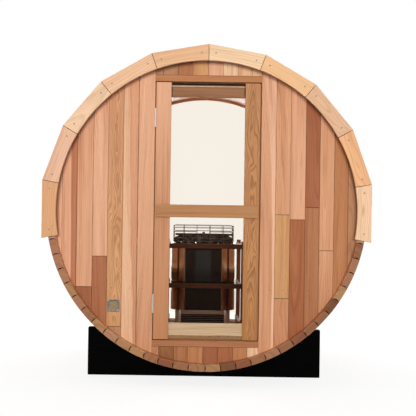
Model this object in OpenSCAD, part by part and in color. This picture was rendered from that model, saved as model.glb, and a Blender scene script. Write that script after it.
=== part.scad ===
// Barrel sauna: a round barrel of cedar staves lying on two black cradles, with a
// boarded front wall and glazed door, a full glass rear wall, slatted benches,
// and a stone heater behind a timber guard. Front faces -Y, ground is Z = 0.

/* [Barrel] */
// Outer diameter over the staves
barrel_d = 1830; // [1760:10:2400]
// Length of the staves
barrel_len = 1830; // [1700:10:3000]
// Number of staves round the barrel
stave_count = 64; // [48:8:80]
// Thickness of a stave
stave_t = 40; // [30:1:50]
// How far the rounded edge of a stave stands out
bead_h = 6; // [3:0.5:8]
// Depth of the grooves in the staves that hold the end walls
groove_d = 10; // [6:1:14]
// Height of the barrel's lowest point above the ground
ground_gap = 85; // [60:1:160]

/* [Roof] */
// Flat roof facets on each side of the ridge
facets_per_side = 5; // [4:1:6]
// Angle that one facet covers
facet_angle = 20; // [16:1:22]
// Thickness of the roof boards
roof_t = 18; // [16:1:30]
// Thickness of the fascia boards over the stave ends
fascia_t = 22; // [16:1:30]
// Inner radius of the fascia, taken in from the barrel's outside
fascia_cover = 58; // [30:1:70]
// Gap at the fascia's joints
fascia_gap = 1.5; // [0.5:0.1:3]

/* [Front wall] */
// Thickness of the wall boards
wall_t = 38; // [25:1:45]
// How far the wall stands back from the stave ends
wall_inset = 64; // [40:1:120]
// Height of the rails over and under the door
frame_rail_h = 36; // [30:1:60]
// How far these rails stand out from the boards
frame_proud = 5; // [0:0.5:10]

/* [Door] */
// Width of the door leaf
leaf_w = 601; // [500:1:720]
// Height of the door leaf
leaf_h = 1482; // [1200:1:1500]
// Thickness of the door leaf
leaf_t = 38; // [30:1:45]
// Sideways place of the leaf's middle from the barrel's axis
leaf_x = 2; // [-30:1:30]
// Height of the leaf's lower edge above the floor
leaf_step = 79; // [60:1:160]
// Gap at the hinges, and above and below the leaf
leaf_gap = 5; // [5:0.5:8]
// Gap at the leaf's free edge
latch_gap = 7; // [6.5:0.5:10]
// Width of the leaf's stiles
stile_w = 87; // [60:1:110]
// Height of the leaf's rails
leaf_rail_h = 72; // [50:1:110]
// Thickness of the door glass
door_glass_t = 8; // [6:0.5:10]
// Height of the handle bar
handle_h = 73; // [50:1:90]
// Distance of the handle bar's ends in from the leaf's edges
handle_end = 6.5; // [4:0.5:60]
// Thickness of the handle bar
handle_t = 28; // [20:1:34]

/* [Hinges] */
// Height of a hinge
hinge_h = 102; // [76:1:140]
// Outer radius of the knuckles
knuckle_r = 5.5; // [4:0.1:6]
// Radius of the pin
pin_r = 3; // [2:0.1:3.5]
// Distance of each hinge's middle from the leaf's end
hinge_end = 206; // [120:1:320]

/* [Vent] */
// Side of the square vent plate
vent_w = 72; // [50:1:100]
// Radius of the vent plug
vent_r = 20; // [10:0.5:24]
// Sideways place of the vent's middle from the axis
vent_x = -528; // [-600:1:-450]
// Height of the vent's middle above the axis
vent_z = -551; // [-560:1:0]

/* [Rear wall] */
// Thickness of the rear glass
rear_glass_t = 10; // [8:0.5:12]
// How far the rear glass stands in from the stave ends
rear_inset = 64; // [40:1:120]

/* [Cradles] */
// Width of a cradle
cradle_w = 1406; // [1200:1:1700]
// Height of a cradle
cradle_h = 289; // [200:1:340]
// Thickness of a cradle
cradle_t = 45; // [38:1:90]
// How far the cradles stand in from the stave ends
cradle_inset = 328; // [150:1:500]
// Height of the runners that join the cradles
runner_h = 140; // [90:1:180]

/* [Floor and benches] */
// Height of the floor over the lowest point inside the barrel
floor_rise = 55; // [40:1:120]
// Width of the floor
floor_w = 570; // [400:1:600]
// Thickness of the floor boards
floor_t = 22; // [18:1:30]
// Height of the bench top over the floor
bench_h = 400; // [350:1:480]
// Width of the free aisle between the benches
aisle_w = 610; // [600:1:700]
// Thickness of a bench slat
slat_t = 28; // [20:1:38]
// Slats on a bench
slat_count = 5; // [3:1:7]
// Gap between boards and between slats
board_gap = 8; // [4:1:15]

/* [Heater] */
// Width of the heater over its curved sides
heater_w = 464; // [400:1:480]
// Depth of the heater
heater_d = 360; // [300:1:380]
// Sideways place of the heater's middle from the axis
heater_x = -2; // [-14:1:14]
// Height of the heater's casing
casing_h = 480; // [400:1:520]
// Height of the heater's base
base_h = 108; // [80:1:140]
// Height of the wire cage
cage_h = 130; // [100:1:180]
// Width of the black front panel
panel_w = 263; // [200:1:280]
// Diameter of the cage wires
wire_d = 5; // [4:0.5:8]
// Section of the guard's posts across the barrel
guard_post_w = 30; // [25:1:35]
// Height of a guard rail
guard_rail_h = 33; // [25:1:45]

/* [Hidden] */
$fn = 180;

// Clearances
joint_gap = 0.4;      // between neighbouring staves
seat_gap = 0.3;       // between a curved face and what it rests on
fit_gap = 0.5;        // round glass and plugs in their grooves and holes

// Barrel
outer_r = barrel_d / 2;
inner_r = outer_r - stave_t;
mid_r = (outer_r + inner_r) / 2;
end_y = barrel_len / 2;
axis_z = ground_gap + outer_r;
pitch = 360 / stave_count;
octant = stave_count / 8;
bead_chord = stave_t - 5;
bead_r = (bead_h * bead_h + bead_chord * bead_chord / 4) / (2 * bead_h);
bead_in = bead_r - bead_h;
gap_angle = asin(joint_gap / 2 / mid_r);

// Hoops and roof
hoop_t = 2;
hoop_w = 32;
hoop_inset = 180;
roof_in = outer_r + hoop_t + 1;
roof_out = roof_in + roof_t;
fascia_in_r = outer_r - fascia_cover;

// Front wall: front and back faces, and the radius of its rim in the groove
wall_y0 = -end_y + wall_inset;
wall_y1 = wall_y0 + wall_t;
rim_r = inner_r + groove_d - fit_gap;

// Floor and benches, from the lowest point inside the barrel
floor_z = -inner_r + floor_rise;
floor_under = floor_z - floor_t;
bench_z = floor_z + bench_h;
bench_in = aisle_w / 2;
slat_under = bench_z - slat_t;
bench_out = sqrt(pow(inner_r - 2, 2) - pow(max(abs(bench_z), abs(slat_under)), 2));
apron_t = 20;
apron_h = 60;
support_t = 38;
support_y = [-end_y + wall_inset + wall_t + 100, 0, end_y - rear_inset - 150];

// Door opening and leaf
leaf_x0 = leaf_x - leaf_w / 2;
leaf_x1 = leaf_x + leaf_w / 2;
leaf_z0 = floor_z + leaf_step;
leaf_z1 = leaf_z0 + leaf_h;
leaf_y0 = wall_y0 - frame_proud;
leaf_y1 = leaf_y0 + leaf_t;
open_x0 = leaf_x0 - leaf_gap;
open_x1 = leaf_x1 + latch_gap;
open_z0 = leaf_z0 - leaf_gap;
open_z1 = leaf_z1 + leaf_gap;
stop_lap = 14;
stop_w = 44;
stop_t = 38;
glass_set = 12;       // the door glass behind the stiles' front faces
glass_lap = 12;       // depth of the stiles' grooves
glass_y0 = leaf_y0 + glass_set;
glass_y1 = glass_y0 + door_glass_t;
rail_in = [21, 12];   // the leaf's rails in from its lower and upper ends
handle_w = leaf_w - 2 * handle_end;
handle_z = 0;
handle_chamfer = 4;

// Hinges
pin_x = (open_x0 + leaf_x0) / 2;
pin_y = leaf_y0 - knuckle_r - 1.5;
plate_t = (leaf_gap - 1) / 2;
plate_d = 36;
knuckles = 5;
knuckle_h = hinge_h / knuckles;
knuckle_gap = 0.4;
pin_play = 0.08;
hinge_z = [leaf_z0 + hinge_end, leaf_z1 - hinge_end];

// Rear glass
rear_y1 = end_y - rear_inset;
rear_y0 = rear_y1 - rear_glass_t;

// Cradles
cradle_y = end_y - cradle_inset - cradle_t;
runner_w = 45;
runner_x = cradle_w / 2 - 150;

// Heater and guard
guard_out = aisle_w / 2 - 8;
guard_front_t = 20;
guard_post_d = 38;
rear_post_in = 12;      // the rear posts in from the front posts' outer faces
rear_post_y = rear_y0 - 5 - guard_post_d;
heater_y1 = rear_post_y - 7;
heater_y0 = heater_y1 - heater_d;
guard_y = heater_y0 - 78;
guard_post_h = 608;
guard_tops = [42, 307, 588];   // heights of the rails' tops over the floor
casing_z0 = floor_z + base_h;
casing_z1 = casing_z0 + casing_h;
casing_front_r = 100;
casing_rear_r = 30;
panel_t = 6;
base_w = 394;
base_inset = 20;
louvre_w = 313;
louvre_h = 80;
sheet_t = 3;
cage_in = 14;
cage_wires_x = 6;
cage_wires_y = 5;
cage_rings = 5;
stones_h = 66;

// ---------- shared shapes ----------

// Lifts the barrel's own frame, whose axis is the Y axis, to its height
module raised() {
    translate([0, 0, axis_z]) children();
}

// Extrudes a shape drawn in X and Z from y0 to y1
module along_y(y0, y1) {
    translate([0, y1, 0]) rotate([90, 0, 0]) linear_extrude(y1 - y0) children();
}

// A box from its two corners
module span(a, b) {
    translate(a) cube(b - a);
}

// Flat sector between two angles from the top, open past the barrel
module wedge(a0, a1) {
    far = 2 * outer_r;
    polygon([[0, 0], far * [sin(a0), cos(a0)], far * [sin(a1), cos(a1)]]);
}

// A round-cornered rectangle centred on the origin
module round_rect(w, h, r) {
    square([w - 2 * r, h], center = true);
    square([w, h - 2 * r], center = true);
    for (x = [-1, 1], y = [-1, 1])
        translate([x * (w / 2 - r), y * (h / 2 - r)]) circle(r);
}

// ---------- staves ----------

// The circle that rounds a joint; side is 1 where its centre lies past angle a
module joint_circle(a, side, r) {
    rotate(-a) translate([side * bead_in, mid_r]) circle(r);
}

// One stave's end shape, with its upper edge at angle a from the top. Each joint has
// a bead on one stave and a cove on the other, with the beads upward. On the left
// the crown stave takes the ridge's bead and the lowest stave closes the ring.
module stave_2d(a, first, last) {
    difference() {
        intersection() {
            difference() {
                circle(outer_r);
                circle(inner_r);
            }
            union() {
                wedge(a + gap_angle, a + pitch - gap_angle);
                if (!first) joint_circle(a, 1, bead_r - joint_gap / 2);
                if (last) joint_circle(a + pitch, -1, bead_r - joint_gap / 2);
            }
        }
        if (first) joint_circle(a, -1, bead_r + joint_gap / 2);
        if (!last) joint_circle(a + pitch, 1, bead_r + joint_gap / 2);
    }
}

// Grooves for the front wall and the rear glass
module wall_grooves() {
    along_y(wall_y0 - seat_gap, wall_y1 + seat_gap) circle(inner_r + groove_d);
    along_y(rear_y0 - seat_gap, rear_y1 + seat_gap) circle(inner_r + groove_d);
}

// The staves of one eighth of the ring; part counts down from the ridge
module stave_group(part, left) {
    raised() mirror([left ? 1 : 0, 0, 0]) for (i = [0 : octant - 1]) {
        k = part * octant + i;
        difference() {
            along_y(-end_y, end_y)
                stave_2d(k * pitch, left && k == 0, left && k == stave_count / 2 - 1);
            wall_grooves();
        }
    }
}

module staves_crown_left() { color("#C08A5E") stave_group(0, true); }
module staves_shoulder_left() { color("#B57F55") stave_group(1, true); }
module staves_flank_left() { color("#A6714D") stave_group(2, true); }
module staves_belly_left() { color("#9A6846") stave_group(3, true); }
module staves_crown_right() { color("#C08A5E") stave_group(0, false); }
module staves_shoulder_right() { color("#B57F55") stave_group(1, false); }
module staves_flank_right() { color("#A6714D") stave_group(2, false); }
module staves_belly_right() { color("#9A6846") stave_group(3, false); }

// ---------- roof and fascia ----------

// Facet i as a strip between two distances from the axis, less half a gap each side
module facet_2d(i, r0, r1, gap) {
    half = tan(facet_angle / 2);
    rotate(-(i + 0.5) * facet_angle)
        polygon([
            [-r0 * half + gap / 2, r0], [r0 * half - gap / 2, r0],
            [r1 * half - gap / 2, r1], [-r1 * half + gap / 2, r1]
        ]);
}

module roof_side(left) {
    raised() mirror([left ? 1 : 0, 0, 0]) for (i = [0 : facets_per_side - 1])
        along_y(-end_y, end_y) facet_2d(i, roof_in, roof_out, joint_gap);
}

// Fascia boards: straight outside, round inside
module fascia_side(y0, left) {
    raised() mirror([left ? 1 : 0, 0, 0]) for (i = [0 : facets_per_side - 1])
        along_y(y0, y0 + fascia_t) difference() {
            facet_2d(i, fascia_in_r * cos(facet_angle / 2) - 10, roof_out, fascia_gap);
            circle(fascia_in_r);
        }
}

module roof_left() { color("#B98457") roof_side(true); }
module roof_right() { color("#B98457") roof_side(false); }
module fascia_front_left() { color("#EFC79B") fascia_side(-end_y - fascia_t, true); }
module fascia_front_right() { color("#EFC79B") fascia_side(-end_y - fascia_t, false); }
module fascia_rear_left() { color("#EFC79B") fascia_side(end_y, true); }
module fascia_rear_right() { color("#EFC79B") fascia_side(end_y, false); }

// ---------- hoops ----------

hoop_y = [-end_y + hoop_inset, end_y - hoop_inset];
clamp_angle = 118;
lug_t = 4;
lug_h = 26;
lug_gap = 34;
clamp_bolt_r = 4;

module hoops() {
    color("silver") raised() for (y = hoop_y)
        along_y(y - hoop_w / 2, y + hoop_w / 2) difference() {
            circle(outer_r + seat_gap + hoop_t);
            circle(outer_r + seat_gap);
        }
}

// Two lugs and a bolt that draw each hoop tight, on the right below the roof
module hoop_clamps() {
    r0 = outer_r + hoop_t + 2 * seat_gap;
    color("gray") raised() for (y = hoop_y) rotate([0, clamp_angle, 0]) translate([0, y, r0]) {
        for (x = [-1, 1]) translate([x * lug_gap / 2, 0, lug_h / 2])
            cube([lug_t, hoop_w - 6, lug_h], center = true);
        translate([0, 0, lug_h - 9]) rotate([0, 90, 0])
            cylinder(r = clamp_bolt_r, h = lug_gap + lug_t + 20, center = true);
    }
}

// ---------- front wall ----------

// Part of the round front wall between two X and two Z values
module wall_piece(x0, x1, z0, z1) {
    along_y(wall_y0, wall_y1) intersection() {
        circle(rim_r);
        translate([x0, z0]) square([x1 - x0, z1 - z0]);
    }
}

module wall_left() {
    color("#D9A06B") raised() difference() {
        wall_piece(-outer_r, open_x0, -outer_r, outer_r);
        translate([vent_x, 0, vent_z]) along_y(wall_y0 - 1, wall_y1 + 1) circle(vent_r + fit_gap);
    }
}

module wall_right() {
    color("#D9A06B") raised() wall_piece(open_x1, outer_r, -outer_r, outer_r);
}

module wall_above_door() {
    color("#CF9468") raised() wall_piece(open_x0, open_x1, open_z1 + frame_rail_h, outer_r);
}

module wall_below_door() {
    color("#B07A5A") raised() wall_piece(open_x0, open_x1, -outer_r, open_z0 - frame_rail_h);
}

// Rails over and under the door, flush with the opening's sides
module door_frame_rails() {
    color("#C27E57") raised() for (z = [open_z1, open_z0 - frame_rail_h])
        span([open_x0, wall_y0 - frame_proud, z], [open_x1, wall_y1, z + frame_rail_h]);
}

// Timbers behind the wall that stiffen the opening and stop the leaf
module door_stops() {
    y0 = wall_y1;
    y1 = wall_y1 + stop_t;
    color("#B0764C") raised() {
        for (x = [open_x0 - stop_w, open_x1 - stop_lap])
            span(
                [x, y0, open_z0 + stop_lap + seat_gap],
                [x + stop_w + stop_lap, y1, open_z1 - stop_lap - seat_gap]
            );
        for (z = [open_z0 - stop_w / 2, open_z1 - stop_lap])
            span([open_x0 - stop_w, y0, z], [open_x1 + stop_w, y1, z + stop_w / 2 + stop_lap]);
    }
}

vent_plate_t = 2;
vent_corner = 8;

module vent_plate() {
    color("#9A9A92") raised() translate([vent_x, 0, vent_z])
        along_y(wall_y0 - vent_plate_t, wall_y0) difference() {
            round_rect(vent_w, vent_w, vent_corner);
            circle(vent_r + fit_gap);
        }
}

module vent_plug() {
    color("#C99A6B") raised() translate([vent_x, 0, vent_z])
        along_y(wall_y0 - vent_plate_t, wall_y1 + 12) circle(vent_r);
}

module rear_glass() {
    color("#BFD8D2", 0.35) raised() along_y(rear_y0, rear_y1) circle(rim_r);
}

// ---------- cradles ----------

module cradle(y0) {
    color("#15130F") difference() {
        span([-cradle_w / 2, y0, 0], [cradle_w / 2, y0 + cradle_t, cradle_h]);
        raised() along_y(y0 - 1, y0 + cradle_t + 1) circle(outer_r + seat_gap);
    }
}

module cradle_front() { cradle(-cradle_y - cradle_t); }
module cradle_rear() { cradle(cradle_y); }

module cradle_runners() {
    color("#15130F") for (s = [-1, 1])
        translate([s * runner_x, 0, runner_h / 2])
            cube([runner_w, 2 * cradle_y, runner_h], center = true);
}

// ---------- floor and benches ----------

floor_count = 5;
floor_board_w = (floor_w - (floor_count - 1) * board_gap) / floor_count;
bearer_half = 200;
bearer_w = 60;

// Shape that follows the inside of the barrel
module inside_2d() {
    circle(inner_r - seat_gap);
}

module floor_boards() {
    color("#B98A60") raised() for (i = [0 : floor_count - 1])
        along_y(wall_y1 + stop_t + 4, rear_y0 - 4) intersection() {
            inside_2d();
            translate([-floor_w / 2 + i * (floor_board_w + board_gap), floor_under])
                square([floor_board_w, floor_t]);
        }
}

module floor_bearers() {
    color("#9C7048") raised() for (y = support_y)
        along_y(y - bearer_w / 2, y + bearer_w / 2) intersection() {
            inside_2d();
            translate([-bearer_half, -outer_r])
                square([2 * bearer_half, outer_r + floor_under]);
        }
}

slat_w = (bench_out - bench_in - (slat_count - 1) * board_gap) / slat_count;

module bench_slats(left) {
    color("#D8A878") raised() mirror([left ? 1 : 0, 0, 0]) for (i = [0 : slat_count - 1])
        span(
            [bench_in + i * (slat_w + board_gap), wall_y1 + stop_t + 4, slat_under],
            [bench_in + i * (slat_w + board_gap) + slat_w, rear_y0 - 4, bench_z]
        );
}

// Apron along the front edge, with bearers and legs cut to the barrel's curve
module bench_frame(left) {
    x0 = bench_in + apron_t + seat_gap;
    leg_top = slat_under - apron_h - seat_gap;
    color("#B98457") raised() mirror([left ? 1 : 0, 0, 0]) {
        span(
            [bench_in, wall_y1 + stop_t + 4, slat_under - apron_h],
            [bench_in + apron_t, rear_y0 - 4, slat_under]
        );
        for (y = support_y) along_y(y - support_t / 2, y + support_t / 2) {
            intersection() {
                inside_2d();
                translate([x0, slat_under - apron_h]) square([outer_r, apron_h]);
            }
        }
        for (y = support_y) along_y(y - support_t / 2, y + support_t / 2) {
            intersection() {
                inside_2d();
                translate([x0, -outer_r]) square([apron_h, outer_r + leg_top]);
            }
        }
    }
}

module bench_left_slats() { bench_slats(true); }
module bench_left_frame() { bench_frame(true); }
module bench_right_slats() { bench_slats(false); }
module bench_right_frame() { bench_frame(false); }

// ---------- heater and guard ----------

// Plan of the casing: large curves at the front corners, small ones at the rear
module casing_plan(inset) {
    w = heater_w - 2 * inset;
    d = heater_d - 2 * inset;
    rf = casing_front_r - inset;
    rr = casing_rear_r - inset;
    translate([heater_x, heater_y0 + inset]) {
        translate([-w / 2 + rf, 0]) square([w - 2 * rf, d]);
        translate([-w / 2, rf]) square([w, d - rf - rr]);
        translate([-w / 2 + rr, 0]) translate([0, d - rr]) square([w - 2 * rr, rr]);
        for (s = [-1, 1]) {
            translate([s * (w / 2 - rf), rf]) circle(rf);
            translate([s * (w / 2 - rr), d - rr]) circle(rr);
        }
    }
}

// A box in the front face of the heater's base, reaching back by depth
module louvre_box(depth, gap) {
    translate([heater_x, heater_y0 + base_inset, (floor_z + casing_z0) / 2])
        cube([louvre_w - 2 * gap, 2 * depth, louvre_h - 2 * gap], center = true);
}

// Sheet steel frame, open at the top and bottom
module heater_base() {
    x = base_w / 2;
    y0 = heater_y0 + base_inset;
    y1 = heater_y1 - base_inset;
    color("#8E8A84") raised() difference() {
        span([heater_x - x, y0, floor_z], [heater_x + x, y1, casing_z0]);
        span(
            [heater_x - x + sheet_t, y0 + sheet_t, floor_z - 1],
            [heater_x + x - sheet_t, y1 - sheet_t, casing_z0 + 1]
        );
        louvre_box(sheet_t, 0);
    }
}

module heater_louvre() {
    color("#211C19") raised() difference() {
        louvre_box(sheet_t, fit_gap);
        translate([0, -2 * sheet_t, 0]) louvre_box(2 * sheet_t, -1);
    }
}

// Sheet steel casing with a closed top, open over the base
module heater_casing() {
    color("#A9A49C") raised() translate([0, 0, casing_z0]) difference() {
        linear_extrude(casing_h) casing_plan(0);
        translate([0, 0, -1]) linear_extrude(casing_h - sheet_t + 1) casing_plan(sheet_t);
    }
}

module heater_panel() {
    color("#1B1918") raised() span(
        [heater_x - panel_w / 2, heater_y0 - panel_t, casing_z0],
        [heater_x + panel_w / 2, heater_y0, casing_z1]
    );
}

// Wire cage over the casing: square rings joined by upright wires
module heater_cage() {
    w = heater_w - 2 * cage_in - wire_d;
    d = heater_d - 2 * cage_in - wire_d;
    yc = (heater_y0 + heater_y1) / 2;
    step = (cage_h - wire_d) / (cage_rings - 1);
    color("#8B8378") raised() translate([heater_x, yc, casing_z1]) {
        for (k = [0 : cage_rings - 1]) translate([0, 0, k * step]) difference() {
            translate([0, 0, wire_d / 2]) cube([w + wire_d, d + wire_d, wire_d], center = true);
            translate([0, 0, wire_d / 2]) cube([w - wire_d, d - wire_d, 2 * wire_d], center = true);
        }
        for (i = [0 : cage_wires_x - 1], s = [-1, 1])
            translate([-w / 2 + i * w / (cage_wires_x - 1), s * d / 2, cage_h / 2])
                cube([wire_d, wire_d, cage_h], center = true);
        for (i = [1 : cage_wires_y - 2], s = [-1, 1])
            translate([s * w / 2, -d / 2 + i * d / (cage_wires_y - 1), cage_h / 2])
                cube([wire_d, wire_d, cage_h], center = true);
    }
}

module heater_stones() {
    margin = cage_in + wire_d + 2;
    color("#3B3836") raised() span(
        [heater_x - heater_w / 2 + margin, heater_y0 + margin, casing_z1],
        [heater_x + heater_w / 2 - margin, heater_y1 - margin, casing_z1 + stones_h]
    );
}

// Front posts stand outside the side rails and rear posts behind them
module guard_posts() {
    color("#5A3522") raised() for (s = [0, 1]) mirror([s, 0, 0]) {
        span(
            [guard_out - guard_post_w, guard_y, floor_z],
            [guard_out, guard_y + guard_post_d, floor_z + guard_post_h]
        );
        span(
            [guard_out - rear_post_in - guard_post_w, rear_post_y, floor_z],
            [guard_out - rear_post_in, rear_post_y + guard_post_d, floor_z + guard_post_h]
        );
    }
}

module guard_rails() {
    side_x = guard_out - guard_post_w;
    color("#4A2A1A") raised() {
        for (top = [guard_tops[1], guard_tops[2]])
            span(
                [-guard_out, guard_y - guard_front_t, floor_z + top - guard_rail_h],
                [guard_out, guard_y, floor_z + top]
            );
        for (top = guard_tops, s = [0, 1]) mirror([s, 0, 0])
            span(
                [side_x - guard_front_t, guard_y + seat_gap, floor_z + top - guard_rail_h],
                [side_x, rear_post_y, floor_z + top]
            );
    }
}

// ---------- door ----------

module door_stiles() {
    color("#C98F62") raised() for (x = [leaf_x0, leaf_x1 - stile_w]) difference() {
        span([x, leaf_y0, leaf_z0], [x + stile_w, leaf_y1, leaf_z1]);
        span(
            [leaf_x0 + stile_w - glass_lap, glass_y0 - fit_gap, leaf_z0 - 1],
            [leaf_x1 - stile_w + glass_lap, glass_y1 + fit_gap, leaf_z1 + 1]
        );
    }
}

// Rails between the stiles, behind the glass
module door_rails() {
    color("#9A6846") raised() for (z = [leaf_z0 + rail_in[0], leaf_z1 - rail_in[1] - leaf_rail_h])
        span(
            [leaf_x0 + stile_w, glass_y1 + fit_gap, z],
            [leaf_x1 - stile_w, leaf_y1, z + leaf_rail_h]
        );
}

module door_glass() {
    lap = glass_lap - fit_gap;
    color("#D8E6E2", 0.35) raised() span(
        [leaf_x0 + stile_w - lap, glass_y0, leaf_z0 + 2],
        [leaf_x1 - stile_w + lap, glass_y1, leaf_z1 - 2]
    );
}

// Bar across the stiles, with its front edges chamfered
module door_handle() {
    c = handle_chamfer;
    h = handle_h / 2;
    color("#D9A06B") raised() translate([leaf_x - handle_w / 2, leaf_y0, handle_z])
        rotate([90, 0, 90]) linear_extrude(handle_w)
            polygon([[0, -h], [0, h], [-handle_t + c, h], [-handle_t, h - c],
                [-handle_t, c - h], [-handle_t + c, -h]]);
}

// One side of a hinge: knuckles with this remainder, and the plate behind them
module hinge_half(side, odd) {
    slots = [for (i = [0 : knuckles - 1]) if (i % 2 == odd) i];
    others = [for (i = [0 : knuckles - 1]) if (i % 2 != odd) i];
    inner = leaf_gap / 2 - plate_t;
    difference() {
        union() {
            for (i = slots) translate([0, 0, i * knuckle_h + knuckle_gap / 2])
                cylinder(r = knuckle_r, h = knuckle_h - knuckle_gap);
            translate([side > 0 ? inner : -inner - plate_t, 0, knuckle_gap / 2])
                cube([plate_t, plate_d, hinge_h - knuckle_gap]);
        }
        for (i = others) translate([0, 0, i * knuckle_h - knuckle_gap / 2])
            cylinder(r = knuckle_r + 2 * knuckle_gap, h = knuckle_h + knuckle_gap);
        translate([0, 0, -1]) cylinder(r = pin_r + pin_play, h = hinge_h + 2);
    }
}

module at_hinges() {
    raised() for (z = hinge_z) translate([pin_x, pin_y, z - hinge_h / 2]) children();
}

module hinge_leaves_door() { color("#B9B4AA") at_hinges() hinge_half(1, 1); }
module hinge_leaves_frame() { color("#B9B4AA") at_hinges() hinge_half(-1, 0); }

// Pins with a flat head at each end
module hinge_pins() {
    head_h = 3;
    color("#C6C1B8") at_hinges() {
        cylinder(r = pin_r, h = hinge_h);
        translate([0, 0, hinge_h]) cylinder(r = knuckle_r, h = head_h);
        translate([0, 0, -head_h]) cylinder(r = knuckle_r, h = head_h);
    }
}

staves_crown_left();
staves_shoulder_left();
staves_flank_left();
staves_belly_left();
staves_crown_right();
staves_shoulder_right();
staves_flank_right();
staves_belly_right();
roof_left();
roof_right();
fascia_front_left();
fascia_front_right();
fascia_rear_left();
fascia_rear_right();
hoops();
hoop_clamps();
wall_left();
wall_right();
wall_above_door();
wall_below_door();
door_frame_rails();
door_stops();
vent_plate();
vent_plug();
rear_glass();
cradle_front();
cradle_rear();
cradle_runners();
floor_boards();
floor_bearers();
bench_left_slats();
bench_left_frame();
bench_right_slats();
bench_right_frame();
heater_base();
heater_louvre();
heater_casing();
heater_panel();
heater_cage();
heater_stones();
guard_posts();
guard_rails();
door_stiles();
door_rails();
door_glass();
door_handle();
hinge_leaves_door();
hinge_leaves_frame();
hinge_pins();
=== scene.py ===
"""Looks of the barrel sauna: every stave, board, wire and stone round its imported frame.

Boards take their outlines from the frame's solids, so a changed size carries through.
Each board keeps its own tone and its own place in the log it was sawn from.
"""

import math
import random

import bmesh
import bpy
from bpy.props import FloatProperty, IntProperty, PointerProperty
from bpy.types import Operator, Panel, PropertyGroup
from mathutils import Matrix, Vector, noise


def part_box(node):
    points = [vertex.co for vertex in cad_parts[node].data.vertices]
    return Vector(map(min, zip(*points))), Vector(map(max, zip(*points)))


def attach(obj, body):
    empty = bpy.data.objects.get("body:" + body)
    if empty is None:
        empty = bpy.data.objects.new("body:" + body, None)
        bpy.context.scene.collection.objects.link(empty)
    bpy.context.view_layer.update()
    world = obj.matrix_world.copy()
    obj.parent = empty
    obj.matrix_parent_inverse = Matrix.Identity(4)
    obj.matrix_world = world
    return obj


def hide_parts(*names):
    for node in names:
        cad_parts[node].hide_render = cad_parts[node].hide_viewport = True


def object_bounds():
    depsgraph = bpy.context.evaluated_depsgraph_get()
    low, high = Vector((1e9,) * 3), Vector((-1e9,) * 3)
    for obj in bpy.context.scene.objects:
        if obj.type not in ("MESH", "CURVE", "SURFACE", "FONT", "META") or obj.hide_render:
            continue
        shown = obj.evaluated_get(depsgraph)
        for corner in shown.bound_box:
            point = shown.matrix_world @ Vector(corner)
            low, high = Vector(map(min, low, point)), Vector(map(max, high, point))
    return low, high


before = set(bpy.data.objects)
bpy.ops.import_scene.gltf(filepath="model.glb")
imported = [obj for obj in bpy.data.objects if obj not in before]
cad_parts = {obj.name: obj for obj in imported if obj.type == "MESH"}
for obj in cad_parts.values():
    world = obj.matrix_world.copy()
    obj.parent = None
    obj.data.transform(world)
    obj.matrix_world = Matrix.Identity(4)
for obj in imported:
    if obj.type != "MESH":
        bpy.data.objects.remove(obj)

bl_info = {
    "name": "Barrel Sauna",
    "version": (1, 0, 0),
    "blender": (4, 5, 0),
    "location": "3D View > Sidebar > Sauna",
    "description": "Dresses the packed barrel sauna with boards, glass, steel and stones",
    "category": "Object",
}

MM = 0.001
SHELL = "shell"
LEAF = "door"
CAD_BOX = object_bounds()
AXIS_Z = sum(corner.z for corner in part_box("rear_glass")) / 2
OUTER_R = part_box("staves_shoulder_right")[1].x
SAME_POINT = 0.01 * MM   # points closer than this are one point
OUTLINE_SLACK = 0.15 * MM   # how far a thinned outline may leave the true curve
FAR = 9.0   # a place outside every log
X, Y, Z = Vector((1, 0, 0)), Vector((0, 1, 0)), Vector((0, 0, 1))

# Tones of planed red cedar, from pale sapwood to dark heartwood
CEDAR = {
    "cream": "#F2CDA2",
    "sapwood": "#F0C9A3",
    "biscuit": "#E9B88F",
    "rose": "#E9B28E",
    "peach": "#E2A984",
    "apricot": "#DCA27A",
    "honey": "#D9A079",
    "amber": "#D8A16F",
    "blush": "#CE916A",
    "toffee": "#C2865B",
    "fawn": "#BC8B66",
    "hazel": "#B67B55",
    "russet": "#AE6D49",
    "umber": "#A66748",
    "cocoa": "#96623F",
}


# ---------- colours and nodes ----------


def linear(code):
    """The linear colour, with alpha 1, of an sRGB hex code."""
    parts = [int(code[i : i + 2], 16) / 255 for i in (1, 3, 5)]
    lit = [c / 12.92 if c <= 0.04045 else ((c + 0.055) / 1.055) ** 2.4 for c in parts]
    return (*lit, 1.0)


def add(tree, kind, inputs=None, stops=None, **settings):
    """Adds a shader node with its settings. Each input is a value, the socket that feeds
    it, or a node whose first socket does."""
    made = tree.nodes.new("ShaderNode" + kind)
    for key, value in settings.items():
        setattr(made, key, value)
    for key, value in (inputs or {}).items():
        if isinstance(value, bpy.types.Node):
            value = value.outputs[0]
        if isinstance(value, bpy.types.NodeSocket):
            tree.links.new(value, made.inputs[key])
        else:
            made.inputs[key].default_value = value
    if stops:
        ramp = made.color_ramp
        while len(ramp.elements) < len(stops):
            ramp.elements.new(0.5)
        for element, (place, colour) in zip(ramp.elements, stops):
            element.position = place
            element.color = colour
    return made


def new_material(name):
    """A material with an empty tree, and that tree."""
    made = bpy.data.materials.new(name)
    made.use_nodes = True
    made.node_tree.nodes.clear()
    return made, made.node_tree


def finish_material(made, shader):
    """Joins the shader to the material's output and returns the material."""
    add(made.node_tree, "OutputMaterial", {"Surface": shader})
    return made


def grey(value):
    """A neutral linear colour."""
    return (value, value, value, 1.0)


# ---------- timber materials ----------


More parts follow.
